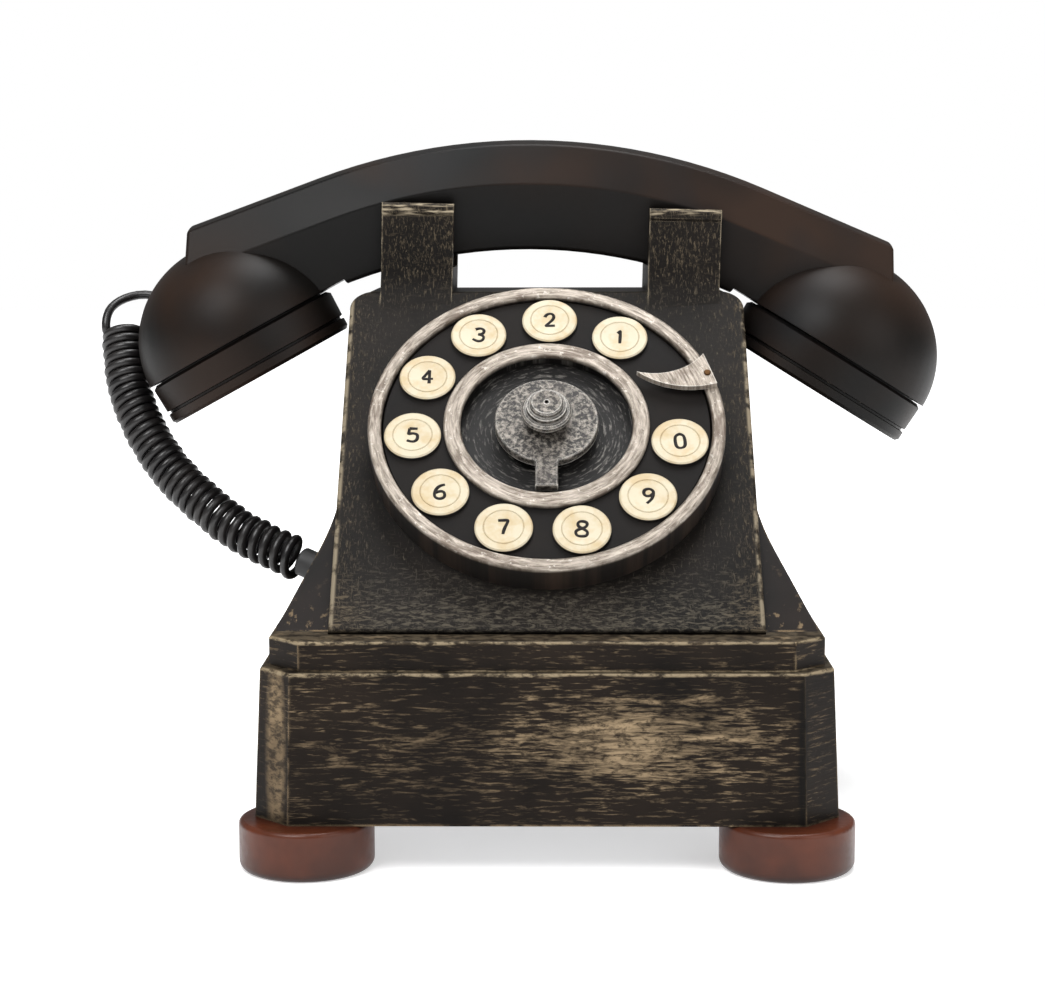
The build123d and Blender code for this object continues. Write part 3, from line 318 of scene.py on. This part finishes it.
# ---------------------------------------------------------------- paints of the case
def plinth_paint():
    """Black-brown paint, dry-brushed with tan along the length of each side, with painted shade in the
    corners and a painted groove shadow at the right front corner.
    """
    s = Surface("worn_plinth_paint", Specular_IOR_Level=0.1)
    broad = s.noise(s.place(), 30, 3)
    dark = s.mix(s.span(broad, 0.36, 0.66), paint_colour(14, 10, 7), paint_colour(31, 24, 18))
    long_streaks = s.noise(s.place((30, 30, 260)), 1.0, 5, 0.7, 0.6)
    fine_streaks = s.noise(s.place((170, 170, 1500)), 1.0, 4, 0.65, 0.4)
    crossing = s.noise(s.place((330, 330, 700)), 1.0, 4, 0.68, 0.3)
    patch = s.spot((27 * MM, -71 * MM, 33 * MM), (44 * MM, 9 * MM, 15 * MM), 1.1, 0.15)
    weak_patch = s.spot((-24 * MM, -71 * MM, 28 * MM), (36 * MM, 9 * MM, 14 * MM))
    reach = s.math("ADD", s.math("MULTIPLY", patch, 0.17), s.math("MULTIPLY", weak_patch, 0.06))
    bold = s.span(s.math("ADD", long_streaks, reach), 0.62, 0.74)
    thin = s.span(s.math("ADD", fine_streaks, reach), 0.56, 0.72)
    thin = s.math("MULTIPLY", thin, s.span(broad, 0.36, 0.62, 0.2, 0.75))
    gaps = s.span(crossing, 0.36, 0.52, 0.15, 1.0)
    worn = s.math("MULTIPLY", s.math("MAXIMUM", s.math("MULTIPLY", bold, 0.8), thin), gaps)
    # the worn front corner at the left, and a painted groove shadow down the right front corner
    facet = s.spot((-63.5 * MM, -71 * MM, 31 * MM), (3.6 * MM, 8 * MM, 30 * MM), 1.0, 0.6)
    facet = s.math("MULTIPLY", facet, s.span(crossing, 0.4, 0.58, 0.15, 0.8))
    rim_noise = s.noise(s.place((210, 210, 210)), 1.0, 4)
    rim = s.math("MULTIPLY", s.edges(1.1 * MM, 0.01, 0.1), s.span(rim_noise, 0.4, 0.54))
    wear = s.math("MAXIMUM", s.math("MAXIMUM", worn, facet), s.math("MULTIPLY", rim, 0.9))
    pale = s.mix(s.span(broad, 0.35, 0.65), paint_colour(106, 90, 70), paint_colour(148, 128, 100))
    pale = s.mix(patch, pale, paint_colour(160, 139, 110))
    colour = s.mix(wear, dark, pale)
    # painted shade: a near-black vertical band stands for the shadow in the groove at the right front
    # corner
    painted_groove_shadow = s.spot((64.4 * MM, -73 * MM, 31 * MM), (1.5 * MM, 7 * MM, 34 * MM), 1.0, 0.5)
    colour = s.mix(s.math("MULTIPLY", painted_groove_shadow, 0.85), colour, paint_colour(9, 8, 7))
    # painted shade: darker in the corners and grooves of the case
    colour = s.mix(s.math("MULTIPLY", s.hollows(4 * MM), 0.8), colour, paint_colour(12, 10, 9))
    # wavering tan lines along the top edges of the two tiers
    waver = s.span(s.noise(s.place((45, 45, 0)), 1.0, 3), 0.3, 0.7, -0.35 * MM, 0.35 * MM)
    level = s.math("ADD", s.axis(s.texture, "Z"), waver, clamp=False)
    lower_line = s.math("MINIMUM", s.span(level, 48.6 * MM, 49.0 * MM), s.span(level, 49.9 * MM, 49.7 * MM))
    lines = s.math("MAXIMUM", lower_line, s.span(level, 56.1 * MM, 56.5 * MM))
    facing = s.axis(s.add("ShaderNodeNewGeometry").outputs["Normal"], "Z")
    lines = s.math("MULTIPLY", lines, s.span(facing, 0.9, 0.7, 0.25, 1.0))
    lines = s.math("MULTIPLY", lines, s.span(crossing, 0.42, 0.56, 0.05, 0.8))
    colour = s.mix(lines, colour, paint_colour(146, 131, 106))
    height = s.math("ADD", s.math("MULTIPLY", fine_streaks, 0.5), s.math("MULTIPLY", wear, 0.4))
    return s.set(colour, s.span(wear, 0, 1, 0.5, 0.75), height, 0.3 * MM, 0.5)


def panel_paint():
    """Charcoal paint with fine grey scratches, worn edges and painted shade in the corners."""
    s = Surface("worn_panel_paint", Specular_IOR_Level=0.1)
    own = s.place((1, 1, 1), dial=True)
    broad = s.noise(s.place(), 26, 3)
    dark = s.mix(s.span(broad, 0.35, 0.65), paint_colour(13, 11, 9), paint_colour(27, 23, 20))
    upward = s.noise(s.place((1900, 420, 700), dial=True), 1.0, 4, 0.7, 0.8)
    across = s.noise(s.place((420, 1300, 600), dial=True), 1.0, 4, 0.7, 0.8)
    low_part = s.span(s.axis(own, "Y"), -34 * MM, -54 * MM)
    side_part = s.span(s.math("ABSOLUTE", s.axis(own, "X"), clamp=False), 42 * MM, 52 * MM)
    top_part = s.span(s.axis(own, "Y"), 40 * MM, 58 * MM)
    edge_part = s.math("MAXIMUM", side_part, top_part)
    fine = s.span(s.math("ADD", upward, s.math("MULTIPLY", edge_part, 0.05)), 0.58, 0.76)
    brushed = s.span(s.math("ADD", across, s.math("MULTIPLY", low_part, 0.09)), 0.56, 0.7)
    brushed = s.math("MULTIPLY", brushed, s.span(low_part, 0, 1, 0.2, 0.9))
    # worn tops of the prongs
    lip = s.span(s.axis(s.texture, "Z"), 158.0 * MM, 158.8 * MM)
    lip = s.math("MULTIPLY", lip, s.span(s.noise(s.place((150, 700, 1100)), 1.0, 4), 0.44, 0.6))
    rim_noise = s.noise(s.place((190, 190, 190)), 1.0, 4)
    rim = s.math("MULTIPLY", s.edges(0.8 * MM), s.span(rim_noise, 0.4, 0.56))
    # a worn line down each side of the panel
    side_line = s.span(s.math("ABSOLUTE", s.axis(own, "X"), clamp=False), 52.0 * MM, 52.6 * MM)
    side_line = s.math("MULTIPLY", side_line, s.span(rim_noise, 0.42, 0.54, 0.05, 0.75))
    rim = s.math("MAXIMUM", s.math("MAXIMUM", rim, lip), side_line)
    wear = s.math("MAXIMUM", s.math("MAXIMUM", fine, brushed), rim)
    light = s.mix(edge_part, paint_colour(90, 84, 73), paint_colour(104, 92, 74))
    light = s.mix(rim, light, paint_colour(168, 155, 132))
    colour = s.mix(s.math("MULTIPLY", wear, 0.8), dark, light)
    # painted shade: darker in the panel's corners and grooves
    colour = s.mix(s.math("MULTIPLY", s.hollows(3 * MM), 0.8), colour, paint_colour(14, 12, 11))
    height = s.math("ADD", s.math("MULTIPLY", upward, 0.5), s.math("MULTIPLY", wear, 0.4))
    return s.set(colour, s.span(wear, 0, 1, 0.5, 0.74), height, 0.25 * MM, 0.35)


def skirt_paint():
    """Smooth dark brown paint with a few bare spots near the plinth and on the edges."""
    s = Surface("skirt_paint", Specular_IOR_Level=0.12)
    broad = s.noise(s.place(), 26, 3)
    dark = s.mix(s.span(broad, 0.35, 0.68), paint_colour(13, 11, 10), paint_colour(30, 24, 21))
    fine = s.noise(s.place((420, 420, 260)), 1.0, 4, 0.65)
    low_part = s.span(s.axis(s.texture, "Z"), 66 * MM, 58 * MM)
    spots = s.math("MULTIPLY", s.span(fine, 0.6, 0.68), s.span(low_part, 0, 1, 0.1, 0.8))
    rim_noise = s.noise(s.place((170, 170, 170)), 1.0, 4)
    rim = s.math("MULTIPLY", s.edges(0.8 * MM), s.span(rim_noise, 0.45, 0.58))
    wear = s.math("MAXIMUM", spots, rim)
    colour = s.mix(s.math("MULTIPLY", wear, 0.8), dark, paint_colour(150, 128, 98))
    return s.set(colour, s.span(wear, 0, 1, 0.44, 0.7), fine, 0.12 * MM, 0.25)


def handset_paint():
    """Matt black with faint brown and blue-grey clouds, painted shade below the handle and in its creases.
    """
    s = Surface("handset_black", Specular_IOR_Level=0.14)
    warm = s.noise(s.place(), 17, 2, 0.5)
    cool = s.noise(s.place((1.3, 1, 0.8)), 23, 2, 0.5)
    colour = s.mix(s.span(warm, 0.4, 0.62), paint_colour(12, 11, 10), paint_colour(40, 27, 19))
    colour = s.mix(s.span(cool, 0.5, 0.7, 0.0, 0.8), colour, paint_colour(18, 21, 23))
    # painted shade: the handle's faces that look down are darker, and the caps' faces are scratched
    facing = s.axis(s.add("ShaderNodeNewGeometry").outputs["Normal"], "Z")
    below_handle = s.span(s.math("ABSOLUTE", s.axis(s.texture, "X"), clamp=False), 76 * MM, 60 * MM)
    shaded = s.math("MULTIPLY", s.span(facing, 0.1, -0.2), below_handle)
    colour = s.mix(s.math("MULTIPLY", shaded, 0.75), colour, paint_colour(7, 6, 5))
    # painted shade: darker in the handset's creases and grooves
    colour = s.mix(s.math("MULTIPLY", s.hollows(5 * MM), 0.85), colour, paint_colour(7, 6, 6))
    grain = s.noise(s.place(), 1400, 3, 0.7)
    scratch_noise = s.noise(s.place((500, 120, 700)), 1.0, 4, 0.7, 0.5)
    scratches = s.math("MULTIPLY", s.span(scratch_noise, 0.58, 0.7), s.span(facing, -0.7, -0.8))
    colour = s.mix(s.math("MULTIPLY", scratches, 0.6), colour, paint_colour(120, 110, 96))
    return s.set(colour, s.span(warm, 0.3, 0.7, 0.4, 0.52), grain, 0.05 * MM, 0.3)


# ---------------------------------------------------------------- paints of the dial
def ring_strokes(s, along, across):
    """Noise drawn out round the dial's axis."""
    parts = s.add("ShaderNodeSeparateXYZ", Vector=s.place((1, 1, 1), dial=True))
    flat = s.add("ShaderNodeCombineXYZ", X=parts.outputs["X"], Y=parts.outputs["Y"])
    radius = s.add("ShaderNodeVectorMath")
    radius.operation = "LENGTH"
    s.plug(flat.outputs[0], radius.inputs[0])
    joined = s.add(
        "ShaderNodeCombineXYZ",
        X=s.math("MULTIPLY", parts.outputs["X"], along, clamp=False),
        Y=s.math("MULTIPLY", parts.outputs["Y"], along, clamp=False),
        Z=s.math("MULTIPLY", radius.outputs["Value"], across, clamp=False),
    )
    return s.noise(joined.outputs[0], 1.0, 5, 0.65, 0.3)


def silver_paint():
    """Brushed-on silver paint, brown where it is thin and on the sides below it, with painted highlights
    along the edges.
    """
    s = Surface("silver_paint", Metallic=0.35)
    strokes = ring_strokes(s, 210, 1500)
    broad = s.noise(s.place(), 75, 3)
    bright = s.mix(s.span(strokes, 0.34, 0.66), paint_colour(94, 84, 73), paint_colour(170, 160, 148))
    blend = s.math("ADD", s.math("MULTIPLY", strokes, 0.3), s.math("MULTIPLY", broad, 0.7))
    colour = s.mix(s.span(blend, 0.5, 0.4, 0.0, 0.7), bright, paint_colour(84, 70, 58))
    flecks = s.span(s.noise(s.place(), 700, 3, 0.7), 0.6, 0.7)
    colour = s.mix(s.math("MULTIPLY", flecks, 0.45), colour, paint_colour(226, 220, 210))
    # painted highlight: near-white lines along the sharp edges
    rim = s.math("MULTIPLY", s.edges(0.5 * MM, 0.03, 0.3), s.span(broad, 0.4, 0.55, 0.3, 1.0))
    colour = s.mix(s.math("MULTIPLY", rim, 0.6), colour, paint_colour(232, 229, 222))
    low = s.span(s.axis(s.place((1, 1, 1), dial=True), "Z"), 8.0 * MM, 7.3 * MM)
    side = s.mix(s.span(strokes, 0.45, 0.7), paint_colour(20, 17, 15), paint_colour(52, 42, 35))
    colour = s.mix(low, colour, side)
    metal = s.span(low, 0, 1, 0.35, 0.0)
    return s.set(colour, s.span(strokes, 0.3, 0.7, 0.5, 0.36), strokes, 0.25 * MM, 0.5, metal)


def wheel_paint():
    """Flat charcoal brown."""
    s = Surface("finger_wheel_paint", Specular_IOR_Level=0.1)
    broad = s.noise(s.place(), 60, 3)
    colour = s.mix(s.span(broad, 0.35, 0.65), paint_colour(17, 15, 14), paint_colour(27, 24, 22))
    grain = s.noise(s.place(), 1600, 3, 0.7)
    return s.set(colour, s.span(broad, 0.3, 0.7, 0.55, 0.66), grain, 0.05 * MM, 0.3)


def disc_paint():
    """Cream enamel with an amber wash, black on the discs' sides."""
    s = Surface("disc_enamel", Specular_IOR_Level=0.35)
    own = s.place((1, 1, 1), dial=True)
    cloud = s.noise(s.place(), 190, 3, 0.6)
    fine = s.noise(s.place(), 900, 3, 0.6)
    colour = s.mix(s.span(cloud, 0.42, 0.66), paint_colour(192, 182, 158), paint_colour(182, 163, 128))
    groove = s.edges(0.3 * MM, 0.02, 0.2)
    drawn = s.math("MULTIPLY", groove, s.span(fine, 0.35, 0.6, 0.35, 1.0))
    colour = s.mix(s.math("MULTIPLY", drawn, 0.8), colour, paint_colour(112, 86, 58))
    side = s.span(s.axis(own, "Z"), 8.22 * MM, 8.12 * MM)
    colour = s.mix(side, colour, paint_colour(20, 17, 15))
    return s.set(colour, s.span(side, 0, 1, 0.38, 0.6), fine, 0.1 * MM, 0.4)


def dish_paint():
    """Black with silver dry-brush speckle."""
    s = Surface("dish_paint", Specular_IOR_Level=0.25)
    strokes = ring_strokes(s, 300, 1700)
    broad = s.noise(s.place(), 55, 2)
    speckle = s.math("MULTIPLY", s.span(strokes, 0.54, 0.68), s.span(broad, 0.38, 0.6, 0.3, 1.0))
    speckle = s.math("MULTIPLY", speckle, s.span(s.hollows(2.5 * MM), 0, 1, 1.0, 0.25))
    colour = s.mix(s.math("MULTIPLY", speckle, 0.8), paint_colour(12, 10, 9), paint_colour(132, 128, 122))
    return s.set(colour, s.span(speckle, 0, 1, 0.55, 0.4), strokes, 0.3 * MM, 0.5)


def pewter_paint():
    """Mottled grey metal paint, with painted highlights along the edges and painted shade in the hollows.
    """
    s = Surface("pewter_paint", Metallic=0.25)
    fine = s.noise(s.place((1, 1, 1), dial=True), 900, 5, 0.7, 0.4)
    broad = s.noise(s.place(), 90, 2)
    colour = s.mix(s.span(fine, 0.44, 0.64), paint_colour(22, 19, 17), paint_colour(136, 129, 120))
    colour = s.mix(s.span(broad, 0.45, 0.75, 0.0, 0.35), colour, paint_colour(60, 52, 46))
    # painted highlight: near-white lines along the sharp edges
    rim = s.math("MULTIPLY", s.edges(0.7 * MM, 0.01, 0.08), s.span(fine, 0.3, 0.5, 0.6, 1.0))
    colour = s.mix(s.math("MULTIPLY", rim, 0.85), colour, paint_colour(208, 204, 197))
    # painted shade: darker round the knob and under the plate's edge
    colour = s.mix(s.math("MULTIPLY", s.hollows(1.5 * MM), 0.85), colour, paint_colour(20, 17, 15))
    return s.set(colour, s.span(fine, 0.3, 0.7, 0.5, 0.36), fine, 0.3 * MM, 0.5)


# ---------------------------------------------------------------- other materials
def foot_paint():
    """Red-brown lacquer, darker where it meets the plinth."""
    s = Surface("foot_lacquer", Coat_Weight=0.15, Coat_Roughness=0.25, Specular_IOR_Level=0.25)
    broad = s.noise(s.place(), 60, 3)
    colour = s.mix(s.span(broad, 0.35, 0.68), paint_colour(62, 27, 12), paint_colour(86, 40, 20))
    fine = s.noise(s.place(), 500, 3, 0.6)
    colour = s.mix(s.math("MULTIPLY", s.hollows(6 * MM), 0.8), colour, paint_colour(30, 13, 10))
    return s.set(colour, s.span(fine, 0.3, 0.7, 0.34, 0.46), fine, 0.1 * MM, 0.25)


def cord_plastic():
    """Glossy black cord."""
    s = Surface("cord_black", Specular_IOR_Level=0.5)
    broad = s.noise(s.place(), 120, 2)
    colour = s.mix(s.span(broad, 0.35, 0.7), paint_colour(14, 13, 14), paint_colour(30, 27, 26))
    fine = s.noise(s.place(), 1800, 2, 0.6)
    return s.set(colour, s.span(broad, 0.3, 0.7, 0.3, 0.42), fine, 0.04 * MM, 0.25)


def plain_metal(name, low, high, roughness, scale=(60, 900, 60), metallic=1.0):
    """Brushed metal of two close tones."""
    s = Surface(name, Metallic=metallic)
    grain = s.noise(s.place(scale), 1.0, 4, 0.6)
    colour = s.mix(s.span(grain, 0.35, 0.65), paint_colour(*low), paint_colour(*high))
    return s.set(colour, s.span(grain, 0.3, 0.7, roughness - 0.06, roughness + 0.08), grain, 0.04 * MM, 0.3)


def numeral_ink():
    """Black paint put on by hand."""
    s = Surface("numeral_ink", Specular_IOR_Level=0.12)
    fine = s.noise(s.place(), 1500, 3, 0.6)
    colour = s.mix(s.span(fine, 0.3, 0.7), paint_colour(14, 12, 12), paint_colour(34, 29, 27))
    return s.set(colour, s.span(fine, 0.3, 0.7, 0.4, 0.55), fine, 0.05 * MM, 0.3)


plinth_material = plinth_paint()
panel_material = panel_paint()
handset_material = handset_paint()
silver_material = silver_paint()
pewter_material = pewter_paint()
steel = plain_metal("steel", (150, 150, 152), (190, 190, 192), 0.34)
brass = plain_metal("brass", (170, 130, 66), (205, 165, 92), 0.34)
copper = plain_metal("copper_winding", (120, 62, 34), (170, 96, 56), 0.42, (40, 40, 1400))
bakelite = plain_metal("bakelite", (44, 26, 18), (66, 40, 28), 0.42, (90, 90, 90), 0.0)
bronze = plain_metal("dark_bronze", (58, 40, 24), (92, 66, 40), 0.45)
rubber = plain_metal("black_rubber", (22, 22, 23), (36, 35, 35), 0.55, (300, 300, 300), 0.0)

looks = {
    "lower_plinth": plinth_material,
    "upper_plinth": plinth_material,
    "case_shell": skirt_paint(),
    "front_panel": panel_material,
    "left_saddle": panel_material,
    "right_saddle": panel_material,
    "handset_body": handset_material,
    "earpiece_cap": handset_material,
    "mouthpiece_cap": handset_material,
    "dial_bezel": silver_material,
    "dial_inner_ring": silver_material,
    "finger_stop": silver_material,
    "stop_rivet": bronze,
    "finger_wheel": wheel_paint(),
    "number_discs": disc_paint(),
    "dial_dish": dish_paint(),
    "centre_plate": pewter_material,
    "centre_knob": pewter_material,
    "feet": foot_paint(),
}
by_slot = {
    "steel": steel,
    "brass": brass,
    "copper": copper,
    "bakelite": bakelite,
    "black_rubber": rubber,
}
for entry in frame["record"]["subparts"]:
    node = nodes[entry["node"]]
    material = looks.get(entry["node"]) or by_slot.get(entry["material_slot"])
    if material:
        dress(node, material)
dress(cord, cord_plastic())

# ---------------------------------------------------------------- numerals
# each figure is a list of strokes in a cell that is 1 high and about 0.6 wide, centred on 0
FIGURES = {
    "1": [
        [(-0.14, 0.3), (0.0, 0.44), (0.03, 0.5), (0.03, 0.2), (0.02, -0.2), (0.02, -0.5)],
    ],
    "2": [
        [(-0.28, 0.26), (-0.2, 0.5), (0.2, 0.54), (0.3, 0.2), (0.05, -0.12), (-0.3, -0.47),
         (-0.1, -0.44), (0.32, -0.45)],
    ],
    "3": [
        [(-0.26, 0.4), (0.0, 0.56), (0.3, 0.42), (0.24, 0.08), (-0.04, 0.06)],
        [(-0.04, 0.06), (0.32, 0.02), (0.36, -0.38), (0.02, -0.56), (-0.3, -0.38)],
    ],
    "4": [
        [(0.12, 0.5), (-0.1, 0.2), (-0.32, -0.14), (-0.05, -0.15), (0.34, -0.14)],
        [(0.12, 0.5), (0.12, 0.0), (0.1, -0.5)],
    ],
    "5": [
        [(0.28, 0.48), (0.0, 0.49), (-0.2, 0.48)],
        [(-0.2, 0.48), (-0.22, 0.2), (-0.24, 0.08), (0.04, 0.16), (0.34, 0.04), (0.28, -0.42),
         (-0.04, -0.52), (-0.3, -0.4)],
    ],
    "6": [
        [(0.2, 0.52), (-0.12, 0.42), (-0.32, 0.0), (-0.28, -0.44), (0.04, -0.56), (0.34, -0.38),
         (0.26, 0.0), (-0.04, 0.06), (-0.26, -0.14)],
    ],
    "7": [
        [(-0.3, 0.47), (0.0, 0.47), (0.32, 0.48), (0.16, 0.16), (0.0, -0.2), (-0.06, -0.5)],
    ],
    "8": [
        [(0.02, 0.04), (-0.28, 0.16), (-0.24, 0.5), (0.04, 0.54), (0.28, 0.46), (0.26, 0.16),
         (0.0, 0.04)],
        [(0.0, 0.04), (-0.36, -0.1), (-0.3, -0.5), (0.04, -0.54), (0.34, -0.46), (0.34, -0.1),
         (0.02, 0.04)],
    ],
    "9": [
        [(0.26, 0.2), (0.1, 0.0), (-0.24, 0.04), (-0.3, 0.4), (0.0, 0.56), (0.3, 0.42), (0.28, 0.0),
         (0.16, -0.3), (-0.04, -0.52)],
    ],
    "0": [
        [(0.0, 0.52), (-0.26, 0.44), (-0.3, 0.0), (-0.24, -0.46), (0.04, -0.54), (0.28, -0.4),
         (0.3, 0.1), (0.22, 0.48), (-0.02, 0.52)],
    ],
}
DISC_COUNT = 10
DISC_PITCH_R, FIRST_DISC, DISC_STEP = 34.5 * MM, 56.0, 32.67
FIGURE_HEIGHT, PEN_R = 4.3 * MM, 0.42 * MM
DISC_MIDDLE, DISC_SLOPE = 8.25 * MM, 0.052  # the discs' faces are shallow cones
PEN_FLATNESS = 0.34
PEN_SWELL = 0.16  # the pen grows and shrinks by this share along a stroke
panel_frame = Matrix.Translation(DIAL_CENTRE) @ Matrix.Rotation(PANEL_TURN[0], 4, "X")


def make_numerals():
    """The ten figures as one mesh that lies on the discs."""
    whole = bmesh.new()
    for index in range(DISC_COUNT):
        figure = str((index + 1) % DISC_COUNT)
        angle = radians(FIRST_DISC + index * DISC_STEP)
        middle = Vector((cos(angle), sin(angle), 0)) * DISC_PITCH_R
        lean = Matrix.Rotation(radians(6 * sin(2.3 * index) - 3), 4, "Z")  # no two lean alike
        put = panel_frame @ Matrix.Translation(middle + Vector((0, 0, DISC_MIDDLE))) @ lean
        for stroke in FIGURES[figure]:
            points = [Vector((x, y, 0)) * FIGURE_HEIGHT for x, y in stroke]
            curve_object = nurbs_curve("stroke", points, 8)
            knots = curve_object.data.splines[0].points
            for number, knot in enumerate(knots):
                knot.radius = 1.0 + PEN_SWELL * sin(2.1 * number + index)
            curve_object.data.bevel_depth = PEN_R
            curve_object.data.bevel_resolution = 3
            curve_object.data.use_fill_caps = True
            mesh = bpy.data.meshes.new_from_object(curve_object)
            for vertex in mesh.vertices:
                rise = DISC_SLOPE * vertex.co.xy.length
                vertex.co.z = PEN_FLATNESS * vertex.co.z + rise
            mesh.transform(put)
            whole.from_mesh(mesh)
            bpy.data.objects.remove(curve_object)
            bpy.data.meshes.remove(mesh)
    mesh = bpy.data.meshes.new("dial_numerals")
    whole.to_mesh(mesh)
    for polygon in mesh.polygons:
        polygon.use_smooth = True
    numerals = add_object("dial_numerals", mesh)
    dress(numerals, numeral_ink())
    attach(numerals, "dial")


make_numerals()


# ---------------------------------------------------------------- floor and light
def studio():
    """A pale glowing floor, dimmer round the phone, a white background, a soft sky and three area lights.
    """
    floor_mesh = bpy.data.meshes.new("floor")
    half = 3.0
    corners = [(-half, -half, 0), (half, -half, 0), (half, half, 0), (-half, half, 0)]
    floor_mesh.from_pydata(corners, [], [(0, 1, 2, 3)])
    floor = add_object("floor", floor_mesh)
    s = Surface("floor_paper", Roughness=0.9, Specular_IOR_Level=0.05, Emission_Strength=1.0)
    tone = s.noise(s.place(), 6, 2)
    # painted light: the floor glows white far off and less round the phone, a painted pool of shade under
    # it
    shade_round_phone = s.spot((0, 0, 0), (0.55, 0.55, 0.55), 1.0, 0.25)
    s.plug(s.mix(shade_round_phone, (1, 1, 1, 1), (0.45, 0.45, 0.45, 1)), s.shader.inputs["Emission Color"])
    dress(floor, s.set(s.mix(tone, (0.88, 0.88, 0.88, 1), (0.9, 0.9, 0.9, 1))))
    world = bpy.data.worlds.new("world")
    world.use_nodes = True
    tree = world.node_tree
    sky = tree.nodes["Background"]
    sky.inputs["Color"].default_value = (1, 1, 1, 1)
    sky.inputs["Strength"].default_value = 0.26
    backdrop = tree.nodes.new("ShaderNodeBackground")
    backdrop.inputs["Color"].default_value = (1, 1, 1, 1)
    rays = tree.nodes.new("ShaderNodeLightPath")
    choice = tree.nodes.new("ShaderNodeMixShader")
    tree.links.new(rays.outputs["Is Camera Ray"], choice.inputs[0])
    tree.links.new(sky.outputs[0], choice.inputs[1])
    tree.links.new(backdrop.outputs[0], choice.inputs[2])
    tree.links.new(choice.outputs[0], tree.nodes["World Output"].inputs["Surface"])
    scene.world = world
    lights = (
        ("key", (-0.45, -0.75, 1.1), 0.7, 14.0),
        ("fill", (0.8, -0.7, 0.6), 0.8, 4.5),
        ("top", (0.1, 0.15, 1.2), 0.6, 10.0),
    )
    for name, place, size, power in lights:
        light_data = bpy.data.lights.new(name, "AREA")
        light_data.size = size
        light_data.energy = power
        light = add_object(name, light_data)
        light.location = place
        light.rotation_euler = (Vector((0, 0, 0.09)) - Vector(place)).to_track_quat("-Z", "Y").to_euler()
    scene.view_settings.view_transform = "Standard"


studio()
